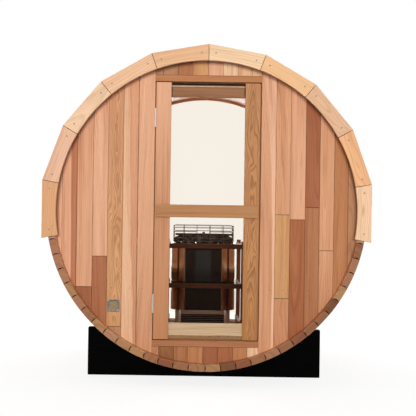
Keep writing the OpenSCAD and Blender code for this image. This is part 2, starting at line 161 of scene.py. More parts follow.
def cedar(name, ring_mm=5.0, figure=1.0, rough=0.56, late=0.16, streak=1.0, end_dark=0.70,
          sheen=0.35):
    """Planed red cedar. The cut runs through the rings of a log, so a face shows straight
    lines, arches or swirls as its place in the log has it, and an end shows arcs. The
    planed face is matt with a faint sheen, and its late wood is redder and darker. Boards
    with a strong figure also show a few small knots, with the rings pushed out round them."""
    made, tree = new_material(name)
    log = add(tree, "Attribute", attribute_name="log").outputs["Vector"]
    tone = add(tree, "Attribute", attribute_name="tone")
    shade = add(tree, "Attribute", attribute_name="shade").outputs["Fac"]
    cut = add(tree, "Attribute", attribute_name="cut").outputs["Fac"]
    # Slow bends of the log, 300 mm long and 70 mm across, that turn straight rings wavy
    slow = add(tree, "VectorMath", {0: log, 1: (3.2, 14, 14)}, operation="MULTIPLY")
    bends = add(tree, "TexNoise", {"Vector": slow, "Scale": 1.0, "Detail": 2.5})
    middled = add(
        tree, "VectorMath", {0: bends.outputs["Color"], 1: (0.5, 0.5, 0.5)}, operation="SUBTRACT"
    )
    reach = add(
        tree, "Math", {0: tone.outputs["Alpha"], 1: 0.055 * figure, 2: 0.006},
        operation="MULTIPLY_ADD",
    )
    pushed = add(tree, "VectorMath", {0: middled, "Scale": reach}, operation="SCALE")
    bent = add(tree, "VectorMath", {0: log, 1: pushed}, operation="ADD")
    parts = add(tree, "SeparateXYZ", {0: bent})
    flat = add(tree, "VectorMath", {0: bent, 1: (0, 1, 1)}, operation="MULTIPLY")
    radius = add(tree, "VectorMath", {0: flat}, operation="LENGTH").outputs["Value"]
    # Knots: cells of the log 400 mm long and 90 mm across, a third of which hold one
    cells = add(tree, "VectorMath", {0: log, 1: (2.5, 11, 11)}, operation="MULTIPLY")
    knot = add(tree, "TexVoronoi", {"Vector": cells, "Scale": 1.0})
    lot = add(tree, "SeparateColor", {0: knot.outputs["Color"]})
    holds = add(tree, "Math", {0: lot, 1: 0.66}, operation="GREATER_THAN")
    holds = add(tree, "Math", {0: holds, 1: tone.outputs["Alpha"]}, operation="MULTIPLY")
    core = add(tree, "MapRange", {0: knot, 1: 0.05, 2: 0.13, 3: 1, 4: 0})
    core = add(tree, "Math", {0: core, 1: holds}, operation="MULTIPLY")
    swell = add(
        tree, "MapRange", {0: knot, 1: 0.0, 2: 0.45, 3: 12 * MM, 4: 0},
        interpolation_type="SMOOTHSTEP",
    )
    pushed_out = add(tree, "Math", {0: swell, 1: holds, 2: radius}, operation="MULTIPLY_ADD")
    # Outer wood of another colour, which begins at a ring of the log
    outer = add(tree, "Attribute", attribute_name="outer")
    past = add(tree, "Math", {0: pushed_out, 1: outer.outputs["Alpha"]}, operation="SUBTRACT")
    past = add(tree, "MapRange", {0: past, 1: 0, 2: 5 * MM, 3: 0, 4: 1})
    grown = add(
        tree, "Mix", {0: past, 6: tone.outputs["Color"], 7: outer.outputs["Color"]},
        data_type="RGBA",
    )
    # Rings: pale early wood darkening to a thin late-wood line
    turns = add(tree, "Math", {0: pushed_out, 1: ring_mm * MM}, operation="DIVIDE")
    saw = add(tree, "Math", {0: turns}, operation="FRACT")
    lines = add(
        tree, "ValToRGB", {0: saw},
        stops=[(0.0, grey(0.55)), (0.12, grey(0)), (0.55, grey(0.12)), (0.93, grey(1))],
    )
    # Broad bands of faster and slower years, 18 mm apart, that hold for nearly a metre
    lengthways = add(tree, "Math", {0: parts, 1: 1.1}, operation="MULTIPLY")
    outward = add(tree, "Math", {0: radius, 1: 55.0}, operation="MULTIPLY")
    band_place = add(tree, "CombineXYZ", {0: lengthways, 1: outward})
    bands = add(
        tree, "TexNoise", {"Vector": band_place, "Scale": 1.0, "Detail": 3.0, "Roughness": 0.6}
    )
    # Fibres and pores, drawn 1.6 mm across and 110 mm long so that they show
    fine = add(tree, "VectorMath", {0: log, 1: (9, 620, 620)}, operation="MULTIPLY")
    fibres = add(tree, "TexNoise", {"Vector": fine, "Scale": 1.0, "Detail": 2.0})
    band_tint = add(
        tree, "ValToRGB", {0: bands},
        stops=[
            (0.28, (1 - 0.26 * streak, 1 - 0.36 * streak, 1 - 0.42 * streak, 1)),
            (0.47, (1 - 0.05 * streak, 1 - 0.07 * streak, 1 - 0.08 * streak, 1)),
            (0.72, (1 + 0.07 * streak, 1 + 0.10 * streak, 1 + 0.12 * streak, 1)),
        ],
    )
    banded = add(
        tree, "Mix", {0: 1.0, 6: grown.outputs[2], 7: band_tint}, data_type="RGBA",
        blend_type="MULTIPLY",
    )
    depth = add(
        tree, "Math", {0: tone.outputs["Alpha"], 1: 2.0 * late, 2: late}, operation="MULTIPLY_ADD"
    )
    late_share = add(tree, "Math", {0: lines, 1: depth}, operation="MULTIPLY")
    ringed = add(
        tree, "Mix", {0: late_share, 6: banded.outputs[2], 7: linear("#5A2A14")}, data_type="RGBA"
    )
    knotted = add(
        tree, "Mix", {0: core, 6: ringed.outputs[2], 7: linear("#5C2F18")}, data_type="RGBA"
    )
    fibre_tint = add(tree, "MapRange", {0: fibres, 1: 0.3, 2: 0.7, 3: 0.93, 4: 1.05})
    end_tint = add(tree, "MapRange", {0: cut, 1: 0, 2: 1, 3: 1, 4: end_dark})
    lightness = add(tree, "Math", {0: fibre_tint, 1: end_tint}, operation="MULTIPLY")
    # shade darkens the joints with painted shade and lightens the arrises with a painted highlight
    lightness = add(tree, "Math", {0: lightness, 1: shade}, operation="MULTIPLY")
    coloured = add(
        tree, "VectorMath", {0: knotted.outputs[2], "Scale": lightness}, operation="SCALE"
    )
    roughness = add(
        tree, "MapRange", {0: fibres, 1: 0.3, 2: 0.7, 3: rough + 0.08, 4: rough - 0.06}
    )
    relief = add(tree, "Math", {0: lines, 1: 0.35, 2: fibres}, operation="MULTIPLY_ADD")
    bump = add(tree, "Bump", {"Strength": 0.30, "Distance": 0.35 * MM, "Height": relief})
    shader = add(
        tree, "BsdfPrincipled",
        {
            "Base Color": coloured,
            "Roughness": roughness,
            "IOR": 1.45,
            "Specular IOR Level": sheen,
            "Normal": bump,
        },
    )
    return finish_material(made, shader)


def painted_timber(name):
    """Sawn timber under two coats of black exterior paint: nearly black, with grain 4 mm
    across raised enough to catch a soft sheen, and a painted highlight along the arrises."""
    made, tree = new_material(name)
    log = add(tree, "Attribute", attribute_name="log").outputs["Vector"]
    shade = add(tree, "Attribute", attribute_name="shade").outputs["Fac"]
    fine = add(tree, "VectorMath", {0: log, 1: (6, 260, 260)}, operation="MULTIPLY")
    grain = add(tree, "TexNoise", {"Vector": fine, "Scale": 1.0, "Detail": 3.0})
    brush = add(
        tree, "ValToRGB", {0: grain}, stops=[(0.3, linear("#020202")), (0.7, linear("#080707"))]
    )
    # Painted highlight: shade above one lightens the arrises
    worn = add(tree, "VectorMath", {0: brush, "Scale": shade}, operation="SCALE")
    rough = add(tree, "MapRange", {0: grain, 1: 0.3, 2: 0.7, 3: 0.72, 4: 0.55})
    bump = add(tree, "Bump", {"Strength": 0.4, "Distance": 0.5 * MM, "Height": grain})
    shader = add(
        tree, "BsdfPrincipled",
        {"Base Color": worn, "Roughness": rough, "Specular IOR Level": 0.03, "Normal": bump},
    )
    return finish_material(made, shader)


# ---------- metal, glass and stone materials ----------


def sheet_steel(name, colour, rough, grain=(400, 400, 400), spread=0.08, relief=0.05):
    """Rolled steel. Its finish leaves fine lines or clouds a few tenths of a millimetre
    deep at most, drawn a few millimetres apart so that they show as uneven gloss."""
    made, tree = new_material(name)
    place = add(tree, "TexCoord").outputs["Object"]
    drawn = add(tree, "VectorMath", {0: place, 1: grain}, operation="MULTIPLY")
    clouds = add(tree, "TexNoise", {"Vector": drawn, "Scale": 1.0, "Detail": 3.0})
    dull = linear(colour)
    bright = tuple(min(1.0, c * 1.18) for c in dull[:3]) + (1.0,)
    tint = add(tree, "ValToRGB", {0: clouds}, stops=[(0.35, dull), (0.68, bright)])
    gloss = add(
        tree, "MapRange",
        {0: clouds, 1: 0.3, 2: 0.7, 3: rough + spread, 4: max(0.02, rough - spread)},
    )
    bump = add(tree, "Bump", {"Strength": relief, "Distance": 0.2 * MM, "Height": clouds})
    shader = add(
        tree, "BsdfPrincipled",
        {"Base Color": tint, "Metallic": 1.0, "Roughness": gloss, "Normal": bump},
    )
    return finish_material(made, shader)


def galvanised(name):
    """Hot-dip galvanised sheet: crystals of zinc 8 mm across, each a slightly different
    grey and gloss, which gives the plate its mottled look."""
    made, tree = new_material(name)
    place = add(tree, "TexCoord").outputs["Object"]
    spangle = add(tree, "TexVoronoi", {"Vector": place, "Scale": 1 / (8 * MM)})
    level = add(tree, "SeparateColor", {0: spangle.outputs["Color"]})
    tint = add(
        tree, "ValToRGB", {0: level}, stops=[(0.0, linear("#8F857A")), (1.0, linear("#BDB2A4"))]
    )
    gloss = add(tree, "MapRange", {0: level.outputs[1], 1: 0, 2: 1, 3: 0.28, 4: 0.5})
    shader = add(tree, "BsdfPrincipled", {"Base Color": tint, "Metallic": 1.0, "Roughness": gloss})
    return finish_material(made, shader)


def black_enamel(name, rough=0.06):
    """Fired black enamel on steel: a deep glossy black whose slow ripples, 12 mm apart,
    bend the reflections a little."""
    made, tree = new_material(name)
    place = add(tree, "TexCoord").outputs["Object"]
    ripple = add(tree, "TexNoise", {"Vector": place, "Scale": 1 / (12 * MM), "Detail": 1.0})
    tint = add(
        tree, "ValToRGB", {0: ripple}, stops=[(0.3, linear("#0B0908")), (0.7, linear("#14110F"))]
    )
    gloss = add(tree, "MapRange", {0: ripple, 1: 0.3, 2: 0.7, 3: rough, 4: rough + 0.08})
    bump = add(tree, "Bump", {"Strength": 0.04, "Distance": 0.3 * MM, "Height": ripple})
    shader = add(
        tree, "BsdfPrincipled",
        {"Base Color": tint, "Roughness": gloss, "Specular IOR Level": 0.22, "Normal": bump},
    )
    return finish_material(made, shader)


def pane_glass(name, tint="#FDFBF8", gloss=0.05):
    """Tempered float glass: see-through with a faint warm tint, and a thin mirror on top
    that grows towards the edge of sight. Faint wipe marks break the mirror up."""
    made, tree = new_material(name)
    place = add(tree, "TexCoord").outputs["Object"]
    wiped = add(tree, "VectorMath", {0: place, 1: (30, 30, 6)}, operation="MULTIPLY")
    marks = add(tree, "TexNoise", {"Vector": wiped, "Scale": 1.0, "Detail": 2.0})
    haze = add(tree, "MapRange", {0: marks, 1: 0.3, 2: 0.7, 3: 0.0, 4: 0.06})
    clear = add(tree, "BsdfTransparent", {"Color": linear(tint)})
    mirror = add(tree, "BsdfAnisotropic", {"Color": grey(0.9), "Roughness": haze})
    edge = add(tree, "LayerWeight", {"Blend": 0.12})
    share = add(tree, "MapRange", {0: edge.outputs["Fresnel"], 1: 0.0, 2: 1.0, 3: 0.0, 4: 1.0})
    softened = add(
        tree, "Math", {0: share, 1: gloss / 0.04 * 0.6}, operation="MULTIPLY", use_clamp=True
    )
    mixed = add(tree, "MixShader", {0: softened, 1: clear, 2: mirror})
    return finish_material(made, mixed)


def tooled_silicone(name):
    """A cream strip along the top of the door glass that paints in the glint of the glass's
    ground edge: a painted highlight, smooth and slightly uneven, so that it shows as a
    broken pale line."""
    made, tree = new_material(name)
    place = add(tree, "TexCoord").outputs["Object"]
    uneven = add(tree, "TexNoise", {"Vector": place, "Scale": 1 / (40 * MM), "Detail": 2.0})
    tint = add(
        tree, "ValToRGB", {0: uneven}, stops=[(0.35, linear("#C9A983")), (0.65, linear("#E6CBA6"))]
    )
    shader = add(tree, "BsdfPrincipled", {"Base Color": tint, "Roughness": 0.35})
    return finish_material(made, shader)


def hot_stone(name):
    """Broken peridotite, baked in use: dark grey-brown with paler grains 3 mm across and
    rough all over."""
    made, tree = new_material(name)
    place = add(tree, "TexCoord").outputs["Object"]
    grains = add(tree, "TexNoise", {"Vector": place, "Scale": 1 / (6 * MM), "Detail": 4.0})
    stains = add(tree, "TexNoise", {"Vector": place, "Scale": 1 / (60 * MM), "Detail": 2.0})
    mixed = add(tree, "Math", {0: grains, 1: 0.5, 2: stains}, operation="MULTIPLY_ADD")
    tint = add(
        tree, "ValToRGB", {0: mixed},
        stops=[(0.5, linear("#15130F")), (0.78, linear("#2E2A26")), (1.0, linear("#56504A"))],
    )
    bump = add(tree, "Bump", {"Strength": 0.6, "Distance": 1.2 * MM, "Height": grains})
    shader = add(tree, "BsdfPrincipled", {"Base Color": tint, "Roughness": 0.85, "Normal": bump})
    return finish_material(made, shader)


# ---------- outlines taken from the frame ----------


def solids(node):
    """Each separate solid of a frame node, as lists of welded faces."""
    mesh = bmesh.new()
    mesh.from_mesh(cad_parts[node].data)
    bmesh.ops.remove_doubles(mesh, verts=mesh.verts, dist=SAME_POINT)
    mesh.faces.ensure_lookup_table()
    seen, found = set(), []
    for start in mesh.faces:
        if start in seen:
            continue
        seen.add(start)
        group, waiting = [], [start]
        while waiting:
            face = waiting.pop()
            group.append(face)
            for vert in face.verts:
                for near in vert.link_faces:
                    if near not in seen:
                        seen.add(near)
                        waiting.append(near)
        found.append([[v.co.copy() for v in face.verts] for face in group])
    mesh.free()
    return found


# The two coordinates left when an outline is drawn along an axis
OTHER = {0: (1, 2), 1: (0, 2), 2: (0, 1)}


def lifted(p, axis, height):
    """A point in space: one of an outline's, at a height on the outline's axis."""
    at = Vector((0, 0, 0))
    u, v = OTHER[axis]
    at[axis], at[u], at[v] = height, p.x, p.y
    return at


def spans(solid):
    """The least and greatest x, y and z of a solid."""
    points = [p for face in solid for p in face]
    return [(min(p[i] for p in points), max(p[i] for p in points)) for i in range(3)]


def centred(solid):
    """The middle of a solid's box."""
    return Vector([(low + high) / 2 for low, high in spans(solid)])


def in_order(node, axis):
    """A node's solids, from the lowest to the highest on an axis."""
    return sorted(solids(node), key=lambda solid: centred(solid)[axis])


def from_top(point):
    """The angle of a point round the axis, clockwise from the top as seen from the front."""
    return math.atan2(point.x, point.z - AXIS_Z)


def circle(sides, start=0.0):
    """The cosine and sine of angles spaced evenly round a circle."""
    angles = [2 * math.pi * i / sides + start for i in range(sides)]
    return [(math.cos(angle), math.sin(angle)) for angle in angles]


def thinned(loop, slack=OUTLINE_SLACK):
    """A closed loop with the points dropped that its neighbours nearly stand in for."""
    def keep(first, last):
        a, b = loop[first], loop[last % len(loop)]
        run = b - a
        worst, where = 0.0, None
        for i in range(first + 1, last):
            gap = loop[i] - a
            off = abs(gap.cross(run)) / run.length if run.length > SAME_POINT else gap.length
            if off > worst:
                worst, where = off, i
        if where is None or worst < slack:
            return [first]
        return keep(first, where) + keep(where, last)

    far = max(range(len(loop)), key=lambda i: (loop[i] - loop[0]).length)
    return [loop[i] for i in keep(0, far) + keep(far, len(loop))]


def area(loop):
    """Signed area of a closed loop, above zero if it runs anticlockwise."""
    return sum(a.cross(b) for a, b in zip(loop, loop[1:] + loop[:1])) / 2


def outline(solid, axis):
    """The outline of a solid's lower end on an axis, and its two ends there."""
    heights = [p[axis] for face in solid for p in face]
    low, high = min(heights), max(heights)
    u, v = OTHER[axis]
    edges = {}
    for face in solid:
        if all(abs(p[axis] - low) < SAME_POINT for p in face):
            keys = [(round(p[u] / SAME_POINT), round(p[v] / SAME_POINT)) for p in face]
            for i, key in enumerate(keys):
                after = keys[(i + 1) % len(keys)]
                if edges.get(after, {}).pop(key, None) is None:
                    edges.setdefault(key, {})[after] = True
    loops = []
    while any(edges.values()):
        start = next(key for key, ends in edges.items() if ends)
        loop, key = [], start
        while edges.get(key):
            loop.append(Vector(key) * SAME_POINT)
            key = edges[key].popitem()[0]
        loops.append(loop)
    best = max(loops, key=lambda loop: abs(area(loop)))
    if area(best) < 0:
        best.reverse()
    return thinned(best), low, high


def clipped(loop, point, inward):
    """The part of a closed loop on the inward side of a line through a point."""
    kept = []
    for a, b in zip(loop, loop[1:] + loop[:1]):
        da, db = (a - point).dot(inward), (b - point).dot(inward)
        if da >= 0:
            kept.append(a)
        if (da > 0 > db) or (da < 0 < db):
            kept.append(a.lerp(b, da / (da - db)))
    return kept


def drawn_in(loop, by):
    """An anticlockwise loop moved in by a distance, with mitred corners."""
    moved = []
    for i, q in enumerate(loop):
        p, r = loop[i - 1], loop[(i + 1) % len(loop)]
        a, b = (q - p).normalized(), (r - q).normalized()
        na, nb = Vector((-a.y, a.x)), Vector((-b.y, b.x))
        moved.append(q + (na + nb) * by / max(0.4, 1 + na.dot(nb)))
    return moved


def cornered(loop, by, sharp=math.radians(35)):
    """A loop with each sharp corner cut off at a distance."""
    eased = []
    for i, q in enumerate(loop):
        p, r = loop[i - 1], loop[(i + 1) % len(loop)]
        a, b = q - p, r - q
        if a.length > 2.5 * by and b.length > 2.5 * by and a.angle(b) > sharp:
            eased += [q - a.normalized() * by, q + b.normalized() * by]
        else:
            eased.append(q)
    return eased


def split(loop, by):
    """A loop with a point added at a distance from both ends of each long side."""
    longer = []
    for a, b in zip(loop, loop[1:] + loop[:1]):
        longer.append(a)
        run = b - a
        if run.length > 2.5 * by:
            longer += [a + run.normalized() * by, b - run.normalized() * by]
    return longer


# ---------- building ----------


def join_up(name, mesh, material, body, replaces, smooth):
    """Turns mesh data into a piece that rides on a body and stands for its nodes. Its
    edges sharper than smooth, in degrees, stay crisp."""
    piece = bpy.data.objects.new(name, mesh)
    bpy.context.scene.collection.objects.link(piece)
    mesh.materials.append(material)
    mesh.polygons.foreach_set("use_smooth", [True] * len(mesh.polygons))
    mesh.set_sharp_from_angle(angle=math.radians(smooth))
    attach(piece, body)
    if replaces:
        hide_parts(*replaces)
    return piece


class Boards:
    """Boards gathered into one piece. Each has its own tone and place in its log."""

    def __init__(self, name):
        self.name = name
        self.draw = random.Random(name)
        self.verts, self.faces = [], []
        self.log, self.tone, self.outer, self.shade, self.cut = [], [], [], [], []

    def add(self, loop, axis, low, high, along, tone, ease=1.5, back=None, corner=0.0,
            edge=1.0, fade=None, figure=0.15, pith=None, outer=("cream", FAR)):
        """Adds a board with this outline, drawn from low to high on the axis. Its grain
        runs along a direction. Its tone is one, or a pair for its lower and upper end; a
        pair darkens the board towards its foot, painted shade for light that falls from
        above, on top of the board's own tone.
        ease, back and corner are its chamfers in millimetres. edge scales the colour of its
        arrises, or is a function that gives that from a point of the outline: below one it
        paints shade into the joints, above one a highlight on the arrises. fade is how far
        from the ends that painted light dies out. pith is its place in the log, and outer is the
        tone of its outer wood and where that begins."""
        ease, back, corner = (d * MM for d in (ease, ease if back is None else back, corner))
        if corner:
            loop = cornered(loop, corner)
        # Painted light on the arrises: edge below one is painted shade in the joints, above one a
        # painted highlight; the faces stay plain
        edges = [edge(p) if callable(edge) else edge for p in loop]
        plain = [1.0] * len(loop)
        rings = [
            (drawn_in(loop, ease), low, plain),
            (loop, low + ease, edges),
            (loop, high - back, edges),
            (drawn_in(loop, back), high, plain),
        ]
        if fade is not None:
            inner = ease + fade * MM
            rings[2:2] = [(loop, low + inner, plain), (loop, high - inner, plain)]
        along = along.normalized()
        out = (X, Y, Z)[axis]
        if abs(out.dot(along)) > 0.9:
            out = Z if axis != 2 else Y
        out = (out - along * out.dot(along)).normalized()
        across = along.cross(out)
        mid = sum((Vector(p) for p in loop), Vector((0, 0))) / len(loop)
        centre = lifted(mid, axis, (low + high) / 2)
        draw = self.draw
        drawn = draw.uniform(-0.11, 0.11), draw.uniform(0.03, 0.14), draw.uniform(-0.05, 0.05)
        side, depth, lean = pith or drawn
        shift = draw.uniform(-20, 20)
        base = len(self.verts)
        pair = tone if isinstance(tone, tuple) else (tone, tone)
        foot, head = (Vector(linear(CEDAR.get(name, name))[:3]) for name in pair)
        rind = (*linear(CEDAR.get(outer[0], outer[0]))[:3], outer[1])
        heights = [low, high] if axis == 2 else [p.y for p in loop]
        bottom, tall = min(heights), max(heights) - min(heights)
        for ring, height, shades in rings:
            for p, shade in zip(ring, shades):
                at = lifted(p, axis, height)
                d = at - centre
                self.verts.append(at)
                self.log.append((
                    d.dot(along) + shift,
                    d.dot(across) + side,
                    d.dot(out) + depth + lean * d.dot(along),
                ))
                # Painted shade: with a pair of tones the board darkens towards its foot
                share = min(1.0, max(0.0, (at.z - bottom) / tall))
                self.tone.append((*foot.lerp(head, share), figure))
                self.outer.append(rind)
                self.shade.append(shade)
        n = len(loop)
        ends_show = 1.0 if abs(along[axis]) > 0.7 else 0.0
        self.faces.append([base + i for i in range(n)])
        self.faces.append([base + (len(rings) - 1) * n + i for i in range(n)])
        self.cut += [ends_show, ends_show]
        for k in range(len(rings) - 1):
            for i in range(n):
                j = (i + 1) % n
                near, far = base + k * n, base + (k + 1) * n
                self.faces.append([near + i, near + j, far + j, far + i])
                run = loop[j] - loop[i]
                side_way = lifted(Vector((run.y, -run.x)), axis, 0.0)
                if side_way.length > 0:
                    side_way.normalize()
                self.cut.append(1.0 if abs(side_way.dot(along)) > 0.8 else 0.0)

    def saw(self, solid, axis, along, tone, **cuts):
        """Adds the board that a solid of the frame stands for."""
        loop, low, high = outline(solid, axis)
        self.add(loop, axis, low, high, along, tone, **cuts)

    def piece(self, material, body, node_slot, replaces=()):
        """The finished piece, closed and with its normals outward."""
        mesh = bpy.data.meshes.new(self.name)
        mesh.from_pydata(self.verts, [], self.faces)
        for label, kind, values, domain, field in (
            ("log", "FLOAT_VECTOR", self.log, "POINT", "vector"),
            ("tone", "FLOAT_COLOR", self.tone, "POINT", "color"),
            ("outer", "FLOAT_COLOR", self.outer, "POINT", "color"),
            ("shade", "FLOAT", self.shade, "POINT", "value"),
            ("cut", "FLOAT", self.cut, "FACE", "value"),
        ):
            data = mesh.attributes.new(label, kind, domain).data
            flat = values if field == "value" else [x for value in values for x in value]
            data.foreach_set(field, flat)
        closed = bmesh.new()
        closed.from_mesh(mesh)
        bmesh.ops.recalc_face_normals(closed, faces=closed.faces)
        closed.to_mesh(mesh)
        closed.free()
        mesh.update()
        return join_up(self.name, mesh, material, body, replaces, smooth=28)


class Metal:
    """Small metal or stone shapes gathered into one piece."""

    def __init__(self, name):
        self.name = name
        self.mesh = bmesh.new()

    def skin(self, rings, closed=False, capped=True):
        """The surface through rings of points, closed into a loop or capped at its ends."""
        rings = [[self.mesh.verts.new(point) for point in ring] for ring in rings]
        for a, b in list(zip(rings, rings[1:])) + ([(rings[-1], rings[0])] if closed else []):
            for i in range(len(a)):
                j = (i + 1) % len(a)
                self.mesh.faces.new((a[i], a[j], b[j], b[i]))
        if capped and not closed:
            self.mesh.faces.new(rings[0][::-1])
            self.mesh.faces.new(rings[-1])

    def cylinder(self, at, way, radius, length, sides=16, ease=0.0):
        """A rod from a point, along a direction, with eased ends."""
        turn = Z.rotation_difference(way.normalized()).to_matrix()
        rows = [(radius, 0.0), (radius, length)]
        if ease:
            rows = [(radius - ease, 0.0), (radius, ease), (radius, length - ease),
                    (radius - ease, length)]
        self.skin([[at + turn @ Vector((r * c, r * s, h)) for c, s in circle(sides)]
                   for r, h in rows])

    def tube(self, points, radius, sides=8, closed=False):
        """A round wire along a path."""
        rings, n = [], len(points)
        for i, p in enumerate(points):
            before = points[i - 1] if closed or i else p
            after = points[(i + 1) % n] if closed or i < n - 1 else p
            way = ((p - before).normalized() if p != before else Vector((0, 0, 0))) + (
                (after - p).normalized() if after != p else Vector((0, 0, 0)))
            way.normalize()
            hint = Z if abs(way.z) < 0.9 else Y
            side = way.cross(hint).normalized()
            up = side.cross(way)
            # A mitre widens the ring so that the wire keeps its thickness round a bend
            bend = 1.0
            if p != before and after != p:
                bend = 1 / max(0.5, math.cos((p - before).angle(after - p) / 2))
            rings.append([p + (side * c + up * s) * radius * bend for c, s in circle(sides)])
        self.skin(rings, closed)

    def box(self, low, high, ease):
        """A box with all its edges eased."""
        made = bmesh.ops.create_cube(self.mesh, size=1.0)
        size, mid = high - low, (high + low) / 2
        for vert in made["verts"]:
            vert.co = Vector([vert.co[i] * size[i] + mid[i] for i in range(3)])
        edges = list({edge for vert in made["verts"] for edge in vert.link_edges})
        bmesh.ops.bevel(
            self.mesh, geom=edges, offset=ease, segments=2, profile=0.6, affect="EDGES",
            clamp_overlap=True,
        )

    def plate(self, loop, axis, low, high, ease):
        """A flat plate with this outline and eased edges."""
        inner = drawn_in(loop, ease)
        rows = (inner, low), (loop, low + ease), (loop, high - ease), (inner, high)
        self.skin([[lifted(p, axis, height) for p in ring] for ring, height in rows])

    def screw(self, at, way, radius, proud=0.4 * MM):
        """A countersunk head with a cross recess, its face just over the surface."""
        turn = Z.rotation_difference(way.normalized()).to_matrix()
        # Rings from under the surface over the rim to the floor of the recess
        rows = [(radius, -1.0 * MM), (radius, proud * 0.5), (radius * 0.9, proud),
                (radius * 0.5, proud), (radius * 0.42, proud - radius * 0.3)]
        rings = []
        for step, (r, h) in enumerate(rows):
            ring = []
            for i, (c, s) in enumerate(circle(16, start=-0.2)):
                # The recess has four arms
                arm = 0.5 if step >= 3 and i % 4 > 1 else 1.0
                ring.append(at + turn @ Vector((r * arm * c, r * arm * s, h)))
            rings.append(ring)
        self.skin(rings)

    def piece(self, material, body, node_slot, replaces=(), smooth=32):
        """The finished piece, with its normals outward."""
        bmesh.ops.recalc_face_normals(self.mesh, faces=self.mesh.faces)
        mesh = bpy.data.meshes.new(self.name)
        self.mesh.to_mesh(mesh)
        self.mesh.free()
        return join_up(self.name, mesh, material, body, replaces, smooth)


def scene_settings():
    """The user's settings for this object."""
    return bpy.context.scene.sauna


def dress(node, material):
    """Gives a frame node that shows as it is its material."""
    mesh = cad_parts[node].data
    mesh.materials.clear()
    mesh.materials.append(material)


# ---------- settings ----------


class SaunaTimberSettings(PropertyGroup):
    """Sizes and looks of the planed boards."""

    joint: FloatProperty(
        name="Joint chamfer", description="Chamfer that makes the V joints of the wall boards",
        default=2.2 * MM, min=1 * MM, max=8 * MM, unit="LENGTH",
    )
    ring: FloatProperty(
        name="Ring spacing", description="Distance between the wall boards' growth rings",
        default=6 * MM, min=1 * MM, max=20 * MM, unit="LENGTH",
    )
    roof_boards: IntProperty(
        name="Boards in a facet", description="Roof boards side by side on one facet",
        default=3, min=1, max=6,
    )


class SaunaHeaterSettings(PropertyGroup):
    """Sizes of the stone heater's details."""

    wire: FloatProperty(
        name="Wire", description="Diameter of the cage's wires",
        default=3.6 * MM, min=2 * MM, max=8 * MM, unit="LENGTH",
    )
    stone: FloatProperty(
        name="Stone", description="Usual size of a stone",
        default=58 * MM, min=30 * MM, max=120 * MM, unit="LENGTH",
    )


class SaunaStageSettings(PropertyGroup):
    """Camera and lights."""

    distance: FloatProperty(
        name="Camera distance", description="From the camera to the front boards",
        default=5.1, min=2, max=20, unit="LENGTH",
    )
    roll: FloatProperty(
        name="Camera roll", description="Lean of the camera",
        default=math.radians(0.85), subtype="ANGLE",
    )
    ambient: FloatProperty(
        name="Ambient", description="Strength of the soft light from the sides and the back",
        default=0.8, min=0, max=2,
    )
    front: FloatProperty(
        name="Front ambient", description="Strength of the soft light from straight ahead",
        default=0.3, min=0, max=2,
    )
    inside: FloatProperty(
        name="Inside lamp", description="Power of the soft lamp under the ceiling",
        default=10, min=0, max=500, subtype="POWER",
    )
    key: FloatProperty(
        name="Key", description="Strength of the soft lamp above the front",
        default=2.35, min=0, max=10,
    )
    rear: FloatProperty(
        name="Rear lamp", description="Power of the wide lamp that shines in from the back",
        default=60, min=0, max=1000, subtype="POWER",
    )


class SaunaSettings(PropertyGroup):
    """Settings of the barrel sauna."""

    timber: PointerProperty(type=SaunaTimberSettings)
    heater: PointerProperty(type=SaunaHeaterSettings)
    stage: PointerProperty(type=SaunaStageSettings)


# ---------- barrel ----------


class SAUNA_OT_staves(Operator):
    """Lay up the staves, bead in cove, with a different tone on each"""

    bl_idname = "sauna.staves"
    bl_label = "Staves"

    arcs = ("crown", "shoulder", "flank", "belly")
    joint_from = 0.44   # where a stave's joint starts, from its middle, as a share of the pitch
    # Tones of the staves that the fascia hides
    hidden = ["hazel", "fawn", "russet", "toffee", "umber", "toffee"]
    # Tones of the staves whose ends show below the fascia, counted down each side
    first_seen = 17
    seen = {
        "left": ["rose", "blush", "blush", "blush", "amber", "blush", "toffee", "amber",
                 "apricot", "amber", "amber", "toffee", "russet", "toffee", "blush"],
        "right": ["rose", "hazel", "blush", "blush", "amber", "cocoa", "hazel", "hazel",
                  "russet", "hazel", "blush", "toffee", "russet", "cocoa", "amber"],
    }

    def execute(self, context):
        wood = cedar(
            "planed_cedar_staves", ring_mm=4.5, rough=0.34, late=0.20, end_dark=0.66, sheen=0.5
        )
        nodes = [(f"staves_{arc}_{side}", side) for arc in self.arcs for side in ("left", "right")]
        pitch = 2 * math.pi / sum(len(solids(node)) for node, _ in nodes)
        for node, side in nodes:
            boards = Boards(node + "_boards")
            for solid in solids(node):
                turn = from_top(centred(solid))

                def edge(p):
                    """Painted shade in the joints, and a faint painted highlight on the other
                    arrises.
                    """
                    off = math.atan2(p.x, p.y - AXIS_Z) - turn
                    off = abs((off + math.pi) % (2 * math.pi) - math.pi)
                    return 0.3 if off > self.joint_from * pitch else 1.05

                tone = boards.draw.choice(self.hidden)
                place = int(abs(turn) / pitch) - self.first_seen
                if 0 <= place < len(self.seen[side]):
                    tone = self.seen[side][place]
                boards.saw(
                    solid, 1, Y, tone, ease=1.9, corner=2.5, edge=edge, fade=3.0,
                    figure=boards.draw.uniform(0.05, 0.4),
                )
            boards.piece(wood, SHELL, "stave_cedar", [node])
        return {"FINISHED"}


